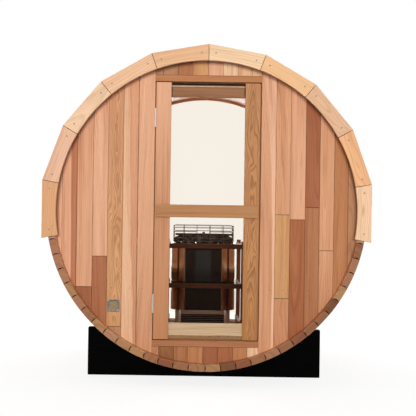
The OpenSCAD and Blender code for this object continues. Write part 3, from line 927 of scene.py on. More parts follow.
class SAUNA_OT_roof(Operator):
    """Board the flat roof facets, three boards to a facet"""

    bl_idname = "sauna.roof"
    bl_label = "Roof"

    gap = 0.8 * MM      # between two boards of a facet
    corner = 2.5 * MM   # cut off the corners of each
    tones = ["honey", "blush", "toffee", "peach", "amber", "hazel", "rose"]

    def execute(self, context):
        wood = cedar("planed_cedar_roof", late=0.18)
        count = scene_settings().timber.roof_boards
        hub = Vector((0, AXIS_Z))
        for side in ("left", "right"):
            boards = Boards(f"roof_{side}_boards")
            for solid in solids(f"roof_{side}"):
                loop, low, high = outline(solid, 1)
                turn = from_top(centred(solid))
                tangent = Vector((math.cos(turn), -math.sin(turn)))
                reach = [(p - hub).dot(tangent) for p in loop]
                width = (max(reach) - min(reach)) / count
                for i in range(count):
                    left, right = i * width, (i + 1) * width - self.gap
                    strip = loop
                    if i > 0:
                        strip = clipped(strip, hub + tangent * (min(reach) + left), tangent)
                    if i < count - 1:
                        strip = clipped(strip, hub + tangent * (min(reach) + right), -tangent)
                    boards.add(
                        cornered(strip, self.corner), 1, low, high, Y,
                        boards.draw.choice(self.tones), figure=boards.draw.uniform(0.05, 0.5),
                    )
            boards.piece(wood, SHELL, "roof_cedar", [f"roof_{side}"])
        return {"FINISHED"}


class SAUNA_OT_fascia(Operator):
    """Fit the fascia boards over the ends of the roof, with two screws in each"""

    bl_idname = "sauna.fascia"
    bl_label = "Fascia"

    screw_angle = math.radians(7.4)
    screw_r = 4.4 * MM
    screw_in = 14 * MM     # from the barrel's outside in to the screws
    set_back = 0.4 * MM    # board faces behind the frame's, so that screw heads stay within it
    pale_in = 6 * MM       # from each corner, along the board's edge, to where its arris takes its full painted highlight
    joint_in = math.radians(0.3)
    tones = {
        "left": ["biscuit", "#EDBF99", "#F2CCA7", "#EDBD9D", "#DFA87B"],
        "right": ["#F4D0A8", "#F0C090", "#E3B691", "#EFB686", "#F4CAA3"],
    }

    def execute(self, context):
        wood = cedar(
            "clear_cedar_fascia", ring_mm=9.0, late=0.10, streak=0.42, rough=0.5, figure=1.4
        )
        zinc = sheet_steel("zinc_plated_screws", "#8F9284", 0.55)
        for end in ("front", "rear"):
            for side in ("left", "right"):
                self.boards(f"fascia_{end}_{side}", end, side, wood, zinc)
        return {"FINISHED"}

    def boards(self, node, end, side, wood, zinc):
        """The boards of one side, counted down from the ridge."""
        boards = Boards(node + "_boards")
        screws = Metal(node + "_screws")
        order = sorted(solids(node), key=lambda s: abs(from_top(centred(s))))
        for solid, tone in zip(order, self.tones[side]):
            loop, low, high = outline(solid, 1)
            if end == "front":
                low += self.set_back
            else:
                high -= self.set_back
            turns = [math.atan2(p.x, p.y - AXIS_Z) for p in loop]
            turn = (min(turns) + max(turns)) / 2
            reach = max(turns) - turn - self.joint_in

            def edge(p):
                """Painted shade in the joints, and a painted highlight along the curve."""
                at_joint = abs(math.atan2(p.x, p.y - AXIS_Z) - turn) > reach
                return 0.42 if at_joint else 1.08

            along = Vector((math.cos(turn), 0, -math.sin(turn)))
            boards.add(
                split(loop, self.pale_in), 1, low, high, along, tone, ease=1.4, edge=edge,
                figure=boards.draw.uniform(0.2, 0.75),
            )
            face_y, way = (low, -Y) if end == "front" else (high, Y)
            r = OUTER_R - self.screw_in
            for lean in (-self.screw_angle, self.screw_angle):
                screws.screw(
                    Vector((r * math.sin(turn + lean), face_y,
                            AXIS_Z + r * math.cos(turn + lean))),
                    way, self.screw_r, proud=self.set_back * 0.9,
                )
        boards.piece(wood, SHELL, "fascia_cedar", [node])
        screws.piece(zinc, SHELL, "hinge_steel")


class SAUNA_OT_hoops(Operator):
    """Finish the two steel hoops and bolt up their clamps"""

    bl_idname = "sauna.hoops"
    bl_label = "Hoops and clamps"

    foot_r = OUTER_R + 2.8 * MM    # feet of the lugs, from the barrel's axis
    half_gap = 17 * MM             # from a clamp's middle to a lug, and from its foot to the bolt
    bolt_r, bolt_l = 3.6 * MM, 52 * MM
    head_r, head_l = 6.8 * MM, 5.2 * MM   # of the bolt's head and its nut
    head_at = (-26.4 * MM, 19.4 * MM)     # where they start, along the bolt
    # A lug's half width, height and thickness, and how far its shoulders are rounded
    lug_w, lug_h, lug_t = 13 * MM, 25.6 * MM, 3.6 * MM
    near, far = 2 * MM, 6 * MM

    def execute(self, context):
        steel = sheet_steel("rolled_stainless_band", "#A5A29B", 0.3, grain=(40, 900, 40))
        zinc = sheet_steel("zinc_plated_bolts", "#9B9D95", 0.38)
        dress("hoops", steel)
        clamps = Metal("clamp_bolts")
        low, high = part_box("hoop_clamps")
        turn = from_top((low + high) / 2)
        out = Vector((math.sin(turn), 0, math.cos(turn)))
        along = Vector((math.cos(turn), 0, -math.sin(turn)))
        for hoop in solids("hoops"):
            foot = Z * AXIS_Z + out * self.foot_r + Y * centred(hoop).y
            for side in (-1, 1):
                self.lug(clamps, foot + along * side * self.half_gap, along, out)
            bolt = foot + out * self.half_gap
            clamps.cylinder(
                bolt - along * self.bolt_l / 2, along, self.bolt_r, self.bolt_l, sides=14,
                ease=0.5 * MM,
            )
            for start in self.head_at:
                clamps.cylinder(
                    bolt + along * start, along, self.head_r, self.head_l, sides=6, ease=0.5 * MM
                )
        clamps.piece(zinc, SHELL, "stainless_band", ["hoop_clamps"])
        return {"FINISHED"}

    def lug(self, clamps, at, along, out):
        """A folded lug: an upright with rounded shoulders."""
        w, h, near, far = self.lug_w, self.lug_h, self.near, self.far
        loop = [(-w, 0), (w, 0), (w, h - far), (w - near, h - near), (w - far, h),
                (far - w, h), (near - w, h - near), (-w, h - far)]
        turn = Matrix((along, Y, out)).transposed()
        clamps.skin([[at + turn @ Vector((x, y, z)) for y, z in loop]
                     for x in (-self.lug_t / 2, self.lug_t / 2)])


class SAUNA_OT_cradles(Operator):
    """Cut the black cradles and their runners"""

    bl_idname = "sauna.cradles"
    bl_label = "Cradles"

    def execute(self, context):
        paint = painted_timber("black_painted_timber")
        boards = Boards("cradle_boards")
        grain = {"cradle_front": X, "cradle_rear": X, "cradle_runners": Y}
        for node, along in grain.items():
            for solid in solids(node):
                loop, low, high = outline(solid, 1)
                # edge=1.8 paints a highlight along the black arrises
                boards.add(
                    cornered(loop, 3 * MM), 1, low, high, along, "#202020", ease=2.5, edge=1.8
                )
        boards.piece(paint, SHELL, "black_timber", list(grain))
        return {"FINISHED"}


# ---------- front wall ----------


class SAUNA_OT_front_wall(Operator):
    """Board the front wall with tongue-and-groove cedar, joint by joint"""

    bl_idname = "sauna.front_wall"
    bl_label = "Front wall"

    hair, splice = 0.2 * MM, 0.2 * MM   # half the gap at a joint, and the gap at a splice
    # Walls with one nail to a board that is wide enough, and the nails' height and radius
    nailed = ("wall_left", "wall_right")
    nail_from, nail_down, nail_r = 60 * MM, 449 * MM, 2.2 * MM
    # Each wall's joints, from left to right, and the boards between them. A board is one
    # or more lengths from the top down, each as its tone, figure and lower end, and then
    # its place in the log and its outer wood where those are set.
    # A pair of tones darkens a length towards its foot: painted shade for light from above, on top
    # of the board's own tone
    walls = {
        "wall_left": ([-833, -748, -656, -570, -484, -397], [
            [("rose", 0.2, None)],
            [("#BF7F5D", 0.12, None, (0.09, 0.019, 0.0), ("#E8AE8B", 0.0765))],
            [("peach", 0.15, -444), ("#A66A4A", 0.4, None)],
            [("rose", 0.1, -267), ("#B27351", 0.15, None)],
            [(("amber", "apricot"), 0.9, -671, (0.004, 0.045, 0.01)), ("fawn", 0.3, None)],
            [(("#D99D77", "#E3A680"), 0.6, None, (0.070, 0.06, -0.045), ("#EFBD96", 0.085))],
            [(("honey", "rose"), 0.1, None)],
        ]),
        "wall_right": ([397, 482, 569, 651, 735, 816], [
            [(("#DBA078", "#E0A783"), 0.3, None, (-0.08, 0.0525, 0.075), ("#F1BD9B", 0.103))],
            [("apricot", 0.3, -14), ("amber", 0.7, -497), ("blush", 0.3, None)],
            [("peach", 0.1, -41), ("russet", 0.2, None)],
            [("umber", 0.2, 30), ("hazel", 0.3, None)],
            [("apricot", 0.2, -217), (("blush", "honey"), 0.2, None)],
            [("toffee", 0.6, None)],
            [("fawn", 0.3, None)],
        ]),
        "wall_above_door": ([-259, -175, -88, -1, 88, 170, 252], [
            [(tone, 0.3, None)] for tone in
            ("fawn", "fawn", "hazel", "amber", "rose", "sapwood", "biscuit", "biscuit")
        ]),
        "wall_below_door": ([-265, -178, -98, -10, 76, 162, 246], [
            [(tone, 0.4, None)] for tone in
            ("blush", "cocoa", "hazel", "toffee", "umber", "russet", "toffee", "sapwood")
        ]),
    }

    def execute(self, context):
        timber = scene_settings().timber
        wood = cedar("tongue_groove_cedar", ring_mm=timber.ring / MM, late=0.14)
        nails = Metal("wall_nails")
        for node, (joints, runs) in self.walls.items():
            self.boards(node, joints, runs, wood, timber.joint / MM, nails)
        nails.piece(sheet_steel("wall_nail_steel", "#4A443E", 0.5), SHELL, "hinge_steel")
        self.rails_and_stops()
        return {"FINISHED"}

    def boards(self, node, joints, runs, wood, joint, nails):
        """Splits a wall node at its joints and splices, and nails the wide boards."""
        boards = Boards(node + "_boards")
        loop, low, high = outline(solids(node)[0], 1)
        cuts = [None] + [x * MM for x in joints] + [None]
        hair = Vector((self.hair, 0))
        for i, run in enumerate(runs):
            strip = loop
            if cuts[i] is not None:
                strip = clipped(strip, Vector((cuts[i], 0)) + hair, Vector((1, 0)))
            if cuts[i + 1] is not None:
                strip = clipped(strip, Vector((cuts[i + 1], 0)) - hair, Vector((-1, 0)))
            if len(strip) < 3:
                continue
            top = None
            for tone, figure, bottom, *grown in run:
                log = dict(zip(("pith", "outer"), grown))
                part = strip
                if top is not None:
                    part = clipped(part, Vector((0, top)), Vector((0, -1)))
                if bottom is not None:
                    part = clipped(part, Vector((0, AXIS_Z + bottom * MM)), Vector((0, 1)))
                top = None if bottom is None else AXIS_Z + bottom * MM - self.splice
                if len(part) < 3:
                    raise RuntimeError(f"{node}: the splices of board {i} leave nothing")
                # edge=0.66 paints shade into the V joints between the boards
                boards.add(
                    part, 1, low, high, Z, tone, ease=joint, back=1.0, edge=0.66, figure=figure,
                    **log,
                )
            left, right = min(p.x for p in strip), max(p.x for p in strip)
            if node in self.nailed and right - left > self.nail_from:
                x = left + (right - left) * boards.draw.uniform(0.25, 0.75)
                nails.cylinder(
                    Vector((x, low + 0.2 * MM, AXIS_Z - self.nail_down)), -Y, self.nail_r,
                    0.5 * MM, sides=10,
                )
        boards.piece(wood, SHELL, "wall_cedar", [node])

    def rails_and_stops(self):
        """The rails over and under the door, and the timbers that stop the leaf."""
        wood = cedar("planed_cedar_frame", late=0.2)
        rails = Boards("door_frame_rail_boards")
        for solid, tone in zip(in_order("door_frame_rails", 2), ("hazel", "toffee")):
            rails.saw(solid, 0, X, tone, ease=0.6, corner=2.2, figure=0.4)
        rails.piece(wood, SHELL, "frame_cedar", ["door_frame_rails"])
        stops = Boards("door_stop_boards")
        for solid in solids("door_stops"):
            low, high = spans(solid)[2]
            axis, along = (2, Z) if high - low > 0.5 else (0, X)
            stops.saw(solid, axis, along, "hazel", corner=2.0)
        inner = cedar("planed_cedar_inside", late=0.18)
        stops.piece(inner, SHELL, "inner_cedar", ["door_stops"])


class SAUNA_OT_vent(Operator):
    """Fit the vent: a pressed zinc plate round a turned plug"""

    bl_idname = "sauna.vent"
    bl_label = "Vent"

    plug_gap = 0.6 * MM                    # round the plug
    rim_out, rim_r = 2.2 * MM, 1.3 * MM    # the wire round the hole: how far out, how thick
    screw_share, screw_r = 0.77, 4.2 * MM  # corner screws, as a share of the half width

    def execute(self, context):
        low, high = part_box("vent_plate")
        middle = (low + high) / 2
        half = (high.x - low.x) / 2
        near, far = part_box("vent_plug")
        hole = (far.x - near.x) / 2 + self.plug_gap
        plate = Metal("vent_plate_pressed")
        # Rings from the outer edge in, as (reach, squareness, y); no reach is the hole
        rows = [(1.0, 1.0, high.y), (1.0, 1.0, low.y + 1.0 * MM), (0.96, 1.0, low.y + 0.3 * MM),
                (0.90, 0.9, low.y), (0.86, 0.8, low.y + 1.0 * MM), (0.76, 0.4, low.y + 1.3 * MM),
                (None, 0.0, low.y + 1.3 * MM), (None, 0.0, high.y)]
        rings = []
        for reach, square, y in rows:
            ring = []
            for c, s in circle(64):
                r = hole
                if reach is not None:
                    # A rounded square: a superellipse whose power grows towards the edge
                    power = 2 + 7 * square
                    r = half * reach / (abs(c) ** power + abs(s) ** power) ** (1 / power)
                ring.append((middle.x + r * c, y, middle.z + r * s))
            rings.append(ring)
        plate.skin(rings, capped=False)
        plate.piece(
            galvanised("galvanised_vent_plate"), SHELL, "zinc_plate", ["vent_plate"], smooth=40
        )
        rim = Metal("vent_rim")
        r = hole + self.rim_out
        rim.tube([Vector((middle.x + r * c, low.y + 1.4 * MM, middle.z + r * s))
                  for c, s in circle(40)], self.rim_r, closed=True)
        rim.piece(sheet_steel("brass_vent_rim", "#D2B894", 0.45), SHELL, "zinc_plate")
        corners = Metal("vent_plate_screws")
        out = half * self.screw_share
        for sx in (-1, 1):
            for sz in (-1, 1):
                at = Vector((middle.x + sx * out, low.y + 1.2 * MM, middle.z + sz * out))
                corners.screw(at, -Y, self.screw_r, proud=0.9 * MM)
        corners.piece(sheet_steel("vent_screw_steel", "#CFCBC2", 0.5), SHELL, "hinge_steel")
        wood = cedar("turned_cedar_plug", ring_mm=3.0, late=0.2, end_dark=0.85)
        plug = Boards("vent_plug_turned")
        # edge=0.5 paints shade round the plug's rim, where the hole round it falls dark
        plug.saw(solids("vent_plug")[0], 1, Y, "#A89370", ease=2.5, figure=0.2, edge=0.5)
        plug.piece(wood, SHELL, "vent_wood", ["vent_plug"])
        return {"FINISHED"}


# ---------- inside ----------


class SAUNA_OT_inside(Operator):
    """Lay the duckboards and build the two benches"""

    bl_idname = "sauna.inside"
    bl_label = "Floor and benches"

    def execute(self, context):
        bench = cedar("clear_cedar_benches", late=0.12, streak=0.7, sheen=0.2)
        inner = cedar("planed_cedar_floor", late=0.2, rough=0.7, sheen=0.02)
        self.lengths("floor_boards", inner, "inner_cedar", ["toffee", "hazel", "russet"])
        self.across("floor_bearers", inner)
        for side in ("left", "right"):
            self.lengths(f"bench_{side}_slats", bench, "bench_cedar", ["sapwood", "rose", "peach"])
            self.across(f"bench_{side}_frame", inner)
        return {"FINISHED"}

    def lengths(self, node, wood, node_slot, tones):
        """Boards that run the length of the barrel."""
        boards = Boards(node + "_planed")
        for solid in solids(node):
            boards.saw(
                solid, 1, Y, boards.draw.choice(tones), corner=3.0,
                figure=boards.draw.uniform(0, 0.5),
            )
        boards.piece(wood, SHELL, node_slot, [node])

    def across(self, node, wood):
        """Aprons, bearers and legs, each with its grain along its length."""
        boards = Boards(node + "_planed")
        for solid in solids(node):
            size = [high - low for low, high in spans(solid)]
            grain = (X, Y, Z)[size.index(max(size))]
            tone = boards.draw.choice(["toffee", "hazel", "honey"])
            boards.saw(solid, 1, grain, tone, corner=2.0)
        boards.piece(wood, SHELL, "inner_cedar", [node])


class SAUNA_OT_guard(Operator):
    """Build the dark guard rails round the heater"""

    bl_idname = "sauna.guard"
    bl_label = "Heater guard"

    screw_in, screw_r = 15 * MM, 3.6 * MM   # from a rail's ends, and the head's radius

    def execute(self, context):
        wood = cedar("stained_cedar_guard", late=0.25, rough=0.5, end_dark=1.5, sheen=0.12)
        posts = Boards("guard_posts_planed")
        for solid in solids("guard_posts"):
            posts.saw(solid, 2, Z, "#744C2D", corner=2.0, ease=2.0)
        posts.piece(wood, SHELL, "guard_cedar", ["guard_posts"])
        rails = Boards("guard_rails_planed")
        screws = Metal("guard_screws")
        for solid in solids("guard_rails"):
            (left, right), (front, _), _ = spans(solid)
            crosswise = right - left > 0.3
            axis, along, tone = (0, X, "#2F1E13") if crosswise else (1, Y, "#6E4A2E")
            rails.saw(solid, axis, along, tone, corner=2.0, ease=2.0)
            if crosswise:
                for x in (left + self.screw_in, right - self.screw_in):
                    at = Vector((x, front, centred(solid).z))
                    screws.screw(at, -Y, self.screw_r, proud=0.0)
        rails.piece(wood, SHELL, "guard_cedar", ["guard_rails"])
        screws.piece(sheet_steel("guard_screw_steel", "#6B655E", 0.4), SHELL, "hinge_steel")
        return {"FINISHED"}


# ---------- heater ----------


class SAUNA_OT_heater(Operator):
    """Fold up the heater: base, louvre, curved casing and black front panel"""

    bl_idname = "sauna.heater"
    bl_label = "Heater"

    # The casing's seams: how far from its middle, half width, depth, and how far back to look
    seam_x, seam_w, seam_d, seam_reach = 184 * MM, 2.2 * MM, 7 * MM, 60 * MM
    # The base's frame: its side strips' width, how far it stands before and behind the
    # louvre's face, and how far its top bar reaches over and under the louvre's top
    strip_w, proud, strip_back = 17 * MM, 4 * MM, 7 * MM
    bar_over, bar_under = 26 * MM, 16 * MM
    screw_step, screw_r = 110 * MM, 3.4 * MM   # three screws along the top bar
    blades = 6
    # A louvre blade's outline, as distance back in millimetres and share of the step up
    blade = [(0.0, 0.1), (0.8, 0.0), (5.0, 0.75), (4.2, 0.85)]
    edge_w = 9 * MM   # the panel's edge strip

    def execute(self, context):
        self.casing()
        self.base()
        self.louvre()
        self.panel()
        return {"FINISHED"}

    def casing(self):
        """The casing's curved sides, with an upright seam on each front corner."""
        steel = sheet_steel(
            "polished_stainless_casing", "#A59E94", 0.13, grain=(6, 6, 160), spread=0.05
        )
        loop = outline(solids("heater_casing")[0], 2)[0]
        low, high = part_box("heater_casing")
        rear = low.y + self.seam_reach
        grooved = []
        for a, b in zip(loop, loop[1:] + loop[:1]):
            grooved.append(a)
            for side in (-1, 1):
                x = (low.x + high.x) / 2 + side * self.seam_x
                if (a.x - x) * (b.x - x) < 0 and a.y < rear and b.y < rear:
                    q = a.lerp(b, (x - a.x) / (b.x - a.x))
                    run = (b - a).normalized()
                    across, into = run * self.seam_w, Vector((-run.y, run.x)) * self.seam_d
                    grooved += [q - across, q - across + into, q + across + into, q + across]
        case = Metal("heater_casing_folded")
        case.plate(grooved, 2, low.z, high.z, 1.2 * MM)
        case.piece(steel, SHELL, "heater_steel", ["heater_casing"], smooth=25)

    def base(self):
        """The narrower base and its raised frame."""
        steel = sheet_steel("brushed_stainless_base", "#A6B4BE", 0.36, grain=(6, 6, 200))
        bright = sheet_steel("bright_stainless_strips", "#CCDCEC", 0.3, grain=(6, 6, 200))
        low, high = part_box("heater_base")
        near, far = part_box("heater_louvre")
        front, top = near.y - self.proud, far.z + self.bar_over
        body = Metal("heater_base_folded")
        body.box(Vector((low.x, near.y + 6 * MM, low.z)), high, 2 * MM)
        body.box(
            Vector((near.x - 1 * MM, front, far.z - self.bar_under)),
            Vector((far.x + 1 * MM, near.y - 0.5 * MM, top)), 1.0 * MM,
        )
        body.piece(steel, SHELL, "heater_steel", ["heater_base"])
        sides = Metal("heater_base_strips")
        for left, right in ((near.x - self.strip_w, near.x), (far.x, far.x + self.strip_w)):
            sides.box(
                Vector((left, front, low.z)), Vector((right, near.y + self.strip_back, top)),
                1.0 * MM,
            )
        sides.piece(bright, SHELL, "heater_steel")
        heads = Metal("heater_base_screws")
        for place in (-1, 0, 1):
            x = (near.x + far.x) / 2 + place * self.screw_step
            heads.screw(Vector((x, front, (far.z + top) / 2)), -Y, self.screw_r)
        heads.piece(sheet_steel("blackened_screws", "#3A3836", 0.4), SHELL, "heater_steel")

    def louvre(self):
        """The dark blades, one over the other."""
        low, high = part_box("heater_louvre")
        louvre = Metal("heater_louvre_blades")
        step = (high.z - low.z) / self.blades
        for i in range(self.blades):
            z = low.z + i * step
            loop = [Vector((low.y + y * MM, z + share * step)) for y, share in self.blade]
            louvre.plate(loop, 0, low.x, high.x, 0.1 * MM)
        enamel = black_enamel("enamelled_louvre", 0.35)
        louvre.piece(enamel, SHELL, "black_enamel", ["heater_louvre"])

    def panel(self):
        """The glossy front panel and the narrow strip on its left edge."""
        low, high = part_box("heater_panel")
        panel = Metal("heater_panel_enamelled")
        panel.box(Vector((low.x + self.edge_w, low.y, low.z)), high, 2 * MM)
        panel.piece(black_enamel("black_enamel_panel"), SHELL, "black_enamel", ["heater_panel"])
        edge = Metal("heater_panel_edges")
        edge.box(
            Vector((low.x, low.y + 1.5 * MM, low.z)),
            Vector((low.x + self.edge_w, high.y, high.z)), 1 * MM,
        )
        steel = sheet_steel("blued_steel_edges", "#343332", 0.3, grain=(8, 8, 200))
        edge.piece(steel, SHELL, "heater_steel")


class SAUNA_OT_cage(Operator):
    """Weld the wire cage over the heater"""

    bl_idname = "sauna.cage"
    bl_label = "Cage"

    corner = 24 * MM                        # bend of the level wires
    hoops_down = (0, 18 * MM)               # level wires, down from the top
    hoops_up = (38 * MM, 13 * MM)           # and up from the bottom
    bar_up, bar_gap = 84 * MM, 45 * MM      # the handling bar, and half its gap at the front
    # Uprights, as shares of the half width and half depth
    front_shares = (-0.66, -0.22, 0.22, 0.66)
    side_shares = (-0.86, -0.43, 0.0, 0.43, 0.86)
    lift_w, lift_up = 9 * MM, 70 * MM       # the lifting plate's half width, and its foot
    # The folded rim's outline, in millimetres back and up, where it starts, and its ends
    slope = [(0, 0), (1.5, 0), (9, 15), (7.5, 15)]
    rim_back, rim_up, rim_in = 9, 57, 14 * MM

    def execute(self, context):
        wire = sheet_steel("drawn_steel_wire", "#827D76", 0.4)
        pale = sheet_steel("folded_stainless_rim", "#5F5C58", 0.35, grain=(8, 60, 60))
        low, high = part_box("heater_cage")
        r = scene_settings().heater.wire / 2
        cage = Metal("heater_cage_wires")
        span_x, span_y = (high.x - low.x) / 2 - r, (high.y - low.y) / 2 - r
        mid = (low + high) / 2
        top = high.z - r
        for z in [top - down for down in self.hoops_down] + [low.z + up for up in self.hoops_up]:
            cage.tube(self.ring(mid, span_x, span_y, z), r, closed=True)
        # The handling bar runs round the sides and stops short of the middle of the front
        bar_z, front = low.z + self.bar_up, mid.y - span_y
        cage.tube(
            [Vector((mid.x + self.bar_gap, front, bar_z))]
            + self.ring(mid, span_x, span_y, bar_z)
            + [Vector((mid.x - self.bar_gap, front, bar_z))], r * 1.5,
        )
        for s in (-1, 1):
            feet = [(mid.x + share * span_x, mid.y + s * span_y) for share in self.front_shares]
            feet += [(mid.x + s * span_x, mid.y + share * span_y) for share in self.side_shares]
            for x, y in feet:
                cage.tube([Vector((x, y, low.z)), Vector((x, y, top))], r)
        # A lifting plate, and the folded rim that holds the stones back
        cage.box(
            Vector((mid.x - self.lift_w, low.y + r, low.z + self.lift_up)),
            Vector((mid.x + self.lift_w, low.y + r + 1.5 * MM, bar_z)), 0.4 * MM,
        )
        cage.piece(wire, SHELL, "heater_steel", ["heater_cage"], smooth=40)
        rim = Metal("heater_stone_rim")
        loop = [Vector((low.y + (self.rim_back + y) * MM, low.z + (self.rim_up + z) * MM))
                for y, z in self.slope]
        rim.plate(loop, 0, low.x + self.rim_in, high.x - self.rim_in, 0.2 * MM)
        rim.piece(pale, SHELL, "heater_steel", smooth=40)
        return {"FINISHED"}

    def ring(self, mid, span_x, span_y, z):
        """A level ring of wire with rounded corners, from the front right round to the left."""
        points = []
        for sx, sy, start in ((1, -1, -90), (1, 1, 0), (-1, 1, 90), (-1, -1, 180)):
            cx = mid.x + sx * (span_x - self.corner)
            cy = mid.y + sy * (span_y - self.corner)
            for step in range(5):
                a = math.radians(start + step * 22.5)
                points.append(
                    Vector((cx + self.corner * math.cos(a), cy + self.corner * math.sin(a), z))
                )
        return points


class SAUNA_OT_stones(Operator):
    """Pile broken stones on the heater"""

    bl_idname = "sauna.stones"
    bl_label = "Stones"

    fillers, filler_share = 90, 0.26   # small pieces, and their radius as a share of a stone
    rows_x, rows_y = 8, 6              # stones in the lowest layer
    layers = 2
    flats = 9                          # sides knocked off each stone

    def execute(self, context):
        low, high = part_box("heater_stones")
        size = scene_settings().heater.stone
        draw = random.Random("stones")
        pile = bmesh.new()
        # Small broken pieces fill the holes under the big stones
        r = size * self.filler_share
        for _ in range(self.fillers):
            at = Vector((
                draw.uniform(low.x + r, high.x - r), draw.uniform(low.y + r, low.y + 3 * r),
                low.z + r * draw.uniform(0.4, 2.2),
            ))
            self.stone(pile, at, r, draw, high.z, facets=2)
        for layer in range(self.layers):
            nx, ny = self.rows_x - layer, self.rows_y - layer
            for i in range(nx):
                for j in range(ny):
                    r = size / 2 * draw.uniform(0.82, 1.12)
                    x = low.x + r + (high.x - low.x - 2 * r) * (i + 0.5 * layer) / (nx - 1 + layer)
                    y = low.y + r + (high.y - low.y - 2 * r) * (j + 0.5 * layer) / (ny - 1 + layer)
                    z = low.z + r * 0.72 + layer * size * 0.42
                    self.stone(pile, Vector((x, y, z)), r, draw, high.z)
        mesh = bpy.data.meshes.new("heater_stone_pile")
        pile.to_mesh(mesh)
        pile.free()
        join_up(mesh.name, mesh, hot_stone("baked_peridotite"), SHELL,
                ["heater_stones"], smooth=30)
        return {"FINISHED"}

    def stone(self, pile, at, r, draw, ceiling, facets=3):
        """One stone: a ball knocked flat on a few random sides, then roughened."""
        made = bmesh.ops.create_icosphere(pile, subdivisions=facets, radius=1.0)
        flats = [
            (Vector([draw.uniform(-1, 1) for _ in range(3)]).normalized(),
             draw.uniform(0.62, 0.86))
            for _ in range(self.flats)
        ]
        stretch = Vector([draw.uniform(0.85, 1.1) for _ in range(3)])
        seed = Vector([draw.uniform(-50, 50) for _ in range(3)])
        for vert in made["verts"]:
            p = vert.co.copy()
            for way, reach in flats:
                over = p.dot(way) - reach
                if over > 0:
                    p -= way * over
            p *= 1 + 0.08 * noise.noise(p * 2.6 + seed)
            q = Vector([p[i] * stretch[i] * r for i in range(3)]) + at
            q.z = min(q.z, ceiling)
            vert.co = q


# ---------- door and glass ----------


class SAUNA_OT_door(Operator):
    """Build the door leaf: stiles, rails and the handle bar"""

    bl_idname = "sauna.door"
    bl_label = "Door leaf"

    # The painted highlight for the glint of the glass's top edge, down from the rail's top;
    # the width and thickness of the black strips of painted shade
    bead_low, bead_high = 11 * MM, 7 * MM
    packing_w, packing_t = 5 * MM, 0.35 * MM
    # The nails under the lower rail: how many, their radius, and how far proud and down
    nails, nail_r, nail_proud, nail_down = 8, 2.8 * MM, 0.35 * MM, 2 * MM

    def execute(self, context):
        wood = cedar("planed_cedar_door", ring_mm=5.0, late=0.18)
        stiles = Boards("door_stiles_planed")
        # The tone pairs darken the stiles towards their foot: painted shade for light from above,
        # on top of the wood's own tone
        looks = [(("toffee", "rose"), 0.1, (0.13, 0.02, 0.0)),
                 (("#C08653", "#C99468"), 0.8, (0.02, 0.06, 0.02))]
        for solid, (tone, figure, pith) in zip(in_order("door_stiles", 0), looks):
            stiles.saw(solid, 2, Z, tone, ease=1.2, corner=1.8, figure=figure, pith=pith)
        stiles.piece(wood, LEAF, "door_cedar", ["door_stiles"])
        rails = Boards("door_rails_planed")
        for solid, tone in zip(in_order("door_rails", 2), ("#DBC3A4", "#A57B5E")):
            rails.saw(solid, 0, X, tone, ease=0.6, corner=1.5, figure=0.25)
        rails.piece(wood, LEAF, "door_cedar", ["door_rails"])
        self.glazing(wood)
        bar = Boards("door_handle_planed")
        bar.saw(solids("door_handle")[0], 0, X, "#BE8A5E", ease=3.0, figure=0.35)
        bar.piece(wood, LEAF, "door_cedar", ["door_handle"])
        return {"FINISHED"}

    def glazing(self, wood):
        """What holds the glass: a bead under the lower rail with a row of small nails. Along
        the upper rail a pale strip paints in the glint of the glass's top edge, and black
        strips over it and at its ends are painted shade in the gaps round the rail."""
        low_rail, high_rail = (spans(solid) for solid in in_order("door_rails", 2))
        (left, right), (face, _), (bottom, top) = high_rail
        foot = low_rail[2][0]
        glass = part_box("door_glass")
        # A pale strip of painted highlight for the glint of the glass's top edge
        bead = Metal("door_glazing_bead")
        bead.box(
            Vector((left, glass[0].y - 1.5 * MM, top - self.bead_low)),
            Vector((right, glass[0].y - 0.1 * MM, top - self.bead_high)), 0.4 * MM,
        )
        bead.piece(tooled_silicone("glazing_silicone"), LEAF, "door_cedar")
        # Black strips of painted shade: two at the rail's ends, in the gaps by the stiles, and one
        # along the rail's top, behind the glass
        packing = Metal("door_packing_strips")
        front = face - self.packing_t
        for x in (left, right - self.packing_w):
            packing.box(
                Vector((x, front, bottom)), Vector((x + self.packing_w, face, top)), 0.1 * MM
            )
        packing.box(
            Vector((left, front, top - 1.5 * MM)),
            Vector((right, face + 6 * MM, glass[1].z - 1 * MM)), 0.1 * MM,
        )
        packing.piece(black_enamel("black_packing_rubber", 0.6), LEAF, "door_cedar")
        strip = Boards("door_foot_bead")
        back, under, over = face + 8 * MM, glass[0].z + 1 * MM, foot - 0.3 * MM
        loop = [Vector(p) for p in ((face, under), (back, under), (back, over), (face, over))]
        strip.add(loop, 0, left, right, X, "#A3835F", ease=0.4, corner=0.8)
        strip.piece(wood, LEAF, "door_cedar")
        nails = Metal("door_rail_nails")
        for i in range(self.nails):
            x = left + (right - left) * (i + 0.5) / self.nails
            nails.cylinder(
                Vector((x, face, foot - self.nail_down)), -Y, self.nail_r, self.nail_proud,
                sides=12,
            )
        nails.piece(sheet_steel("blackened_nails", "#3A3430", 0.5), LEAF, "hinge_steel")


class SAUNA_OT_glass(Operator):
    """Glaze the door and the rear wall"""

    bl_idname = "sauna.glass"
    bl_label = "Glass"

    def execute(self, context):
        glass = pane_glass("tempered_glass")
        dress("door_glass", glass)
        dress("rear_glass", glass)
        return {"FINISHED"}


class SAUNA_OT_hinges(Operator):
    """Finish the two butt hinges"""

    bl_idname = "sauna.hinges"
    bl_label = "Hinges"

    def execute(self, context):
        steel = sheet_steel("zinc_plated_hinges", "#E9E7E2", 0.42)
        for node in ("hinge_leaves_door", "hinge_leaves_frame", "hinge_pins"):
            dress(node, steel)
        return {"FINISHED"}


# ---------- stage ----------


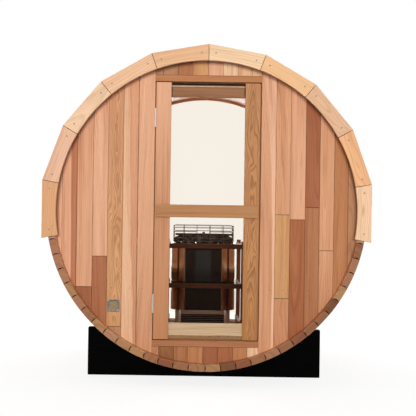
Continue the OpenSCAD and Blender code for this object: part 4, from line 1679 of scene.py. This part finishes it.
class SAUNA_OT_stage(Operator):
    """Set up the pale floor, the soft light and the camera"""

    bl_idname = "sauna.stage"
    bl_label = "Stage"

    focal_mm = 77.83
    sensor_mm = 36.0
    camera_x = -0.065
    shift = (0.0307, 0.0075)
    clip_end = 200
    lamp_up = 0.3      # the rear and inside lamps, over the barrel's axis
    rear_back = 2.0    # the rear lamp, behind the barrel
    floor_r = 40
    floor_drop = 0.5 * MM

    def execute(self, context):
        scene = context.scene
        settings = scene_settings().stage
        scene.view_settings.view_transform = "Standard"
        self.floor()
        self.sky(scene, settings)
        self.lamp(
            "soft_key", "SUN", settings.key, (0, 0, 0), (85, 0, -1), ["glossy"],
            angle=math.radians(16),
        )
        self.lamp(
            "rear_lamp", "AREA", settings.rear,
            (0, CAD_BOX[1][1] + self.rear_back, AXIS_Z + self.lamp_up), (-90, 0, 0), ["camera"],
            shape="RECTANGLE", size=2.6, size_y=2.2,
        )
        self.lamp(
            "inside_lamp", "AREA", settings.inside, (0, 0, AXIS_Z + self.lamp_up), (0, 0, 0),
            ["camera", "glossy"], shape="RECTANGLE", size=0.7, size_y=0.7,
            color=(0.88, 0.94, 1.0),
        )
        camera = bpy.data.cameras.new("camera")
        camera.lens = self.focal_mm
        camera.sensor_width = self.sensor_mm
        camera.shift_x, camera.shift_y = self.shift
        camera.clip_end = self.clip_end
        eye = bpy.data.objects.new("camera", camera)
        eye.location = (self.camera_x, CAD_BOX[0][1] - settings.distance, AXIS_Z)
        eye.rotation_euler = (math.pi / 2, -settings.roll, 0)
        scene.collection.objects.link(eye)
        scene.camera = eye
        return {"FINISHED"}

    def lamp(self, name, kind, energy, at, turn, unseen, **settings):
        """A lamp at a place, turned by degrees, that some kinds of ray don't see."""
        data = bpy.data.lights.new(name, kind)
        data.energy = energy
        for key, value in settings.items():
            setattr(data, key, value)
        made = bpy.data.objects.new(name, data)
        made.location = at
        made.rotation_euler = [math.radians(angle) for angle in turn]
        for ray in unseen:
            setattr(made, "visible_" + ray, False)
        bpy.context.scene.collection.objects.link(made)

    def floor(self):
        """A wide round pale floor that keeps soft shadows."""
        made, tree = new_material("pale_floor")
        path = add(tree, "LightPath")
        matt = add(tree, "BsdfDiffuse", {"Color": grey(0.55)})
        seen = add(tree, "BsdfDiffuse", {"Color": grey(0.25)})
        glow = add(tree, "Emission", {"Color": grey(1.0), "Strength": 0.84})
        pale = add(tree, "AddShader", {0: seen, 1: glow})
        mixed = add(tree, "MixShader", {0: path.outputs["Is Camera Ray"], 1: matt, 2: pale})
        finish_material(made, mixed)
        mesh = bmesh.new()
        bmesh.ops.create_circle(mesh, cap_ends=True, segments=96, radius=self.floor_r)
        data = bpy.data.meshes.new("floor")
        mesh.to_mesh(data)
        mesh.free()
        data.materials.append(made)
        floor = bpy.data.objects.new("floor", data)
        floor.location.z = CAD_BOX[0][2] - self.floor_drop
        bpy.context.scene.collection.objects.link(floor)

    def sky(self, scene, settings):
        """White where it is seen directly, in metal or through glass, and softer as light."""
        world = bpy.data.worlds.new("white_room")
        scene.world = world
        world.use_nodes = True
        tree = world.node_tree
        tree.nodes.clear()
        path = add(tree, "LightPath")
        seen = add(
            tree, "Math",
            {0: path.outputs["Is Camera Ray"], 1: path.outputs["Is Transmission Ray"]},
            operation="MAXIMUM",
        )
        seen = add(tree, "Math", {0: seen, 1: path.outputs["Is Glossy Ray"]}, operation="MAXIMUM")
        # The light from ahead is weaker, since the key shines from there
        way = add(tree, "TexCoord").outputs["Generated"]
        parts = add(tree, "SeparateXYZ", {0: way})
        round_about = add(
            tree, "MapRange",
            {0: parts.outputs[1], 1: -0.6, 2: 0.2, 3: settings.front, 4: settings.ambient},
        )
        strength = add(tree, "MapRange", {0: seen, 1: 0, 2: 1, 3: round_about, 4: 1.0})
        back = add(tree, "Background", {"Color": grey(1.0), "Strength": strength})
        add(tree, "OutputWorld", {"Surface": back})


# ---------- panel and registration ----------

STEPS = (
    SAUNA_OT_staves, SAUNA_OT_roof, SAUNA_OT_fascia, SAUNA_OT_hoops, SAUNA_OT_cradles,
    SAUNA_OT_front_wall, SAUNA_OT_vent, SAUNA_OT_inside, SAUNA_OT_guard, SAUNA_OT_heater,
    SAUNA_OT_cage, SAUNA_OT_stones, SAUNA_OT_door, SAUNA_OT_glass, SAUNA_OT_hinges,
    SAUNA_OT_stage,
)


class SAUNA_PT_parts(Panel):
    """Lists the parts of the sauna and their settings"""

    bl_label = "Barrel Sauna"
    bl_space_type = "VIEW_3D"
    bl_region_type = "UI"
    bl_category = "Sauna"

    def draw(self, context):
        for step in STEPS:
            self.layout.operator(step.bl_idname)
        for group in ("timber", "heater", "stage"):
            box = self.layout.box()
            settings = getattr(context.scene.sauna, group)
            for name in settings.__annotations__:
                box.prop(settings, name)


CLASSES = (
    SaunaTimberSettings, SaunaHeaterSettings, SaunaStageSettings, SaunaSettings, *STEPS,
    SAUNA_PT_parts,
)


def register():
    """Adds the classes and the scene's settings."""
    for cls in CLASSES:
        bpy.utils.register_class(cls)
    bpy.types.Scene.sauna = PointerProperty(type=SaunaSettings)


def unregister():
    """Takes the classes and the scene's settings away again."""
    del bpy.types.Scene.sauna
    for cls in reversed(CLASSES):
        bpy.utils.unregister_class(cls)


def main():
    """Registers the classes, then builds every part in order."""
    register()
    for step in STEPS:
        group, action = step.bl_idname.split(".")
        getattr(getattr(bpy.ops, group), action)()


if __name__ == "__main__":
    main()
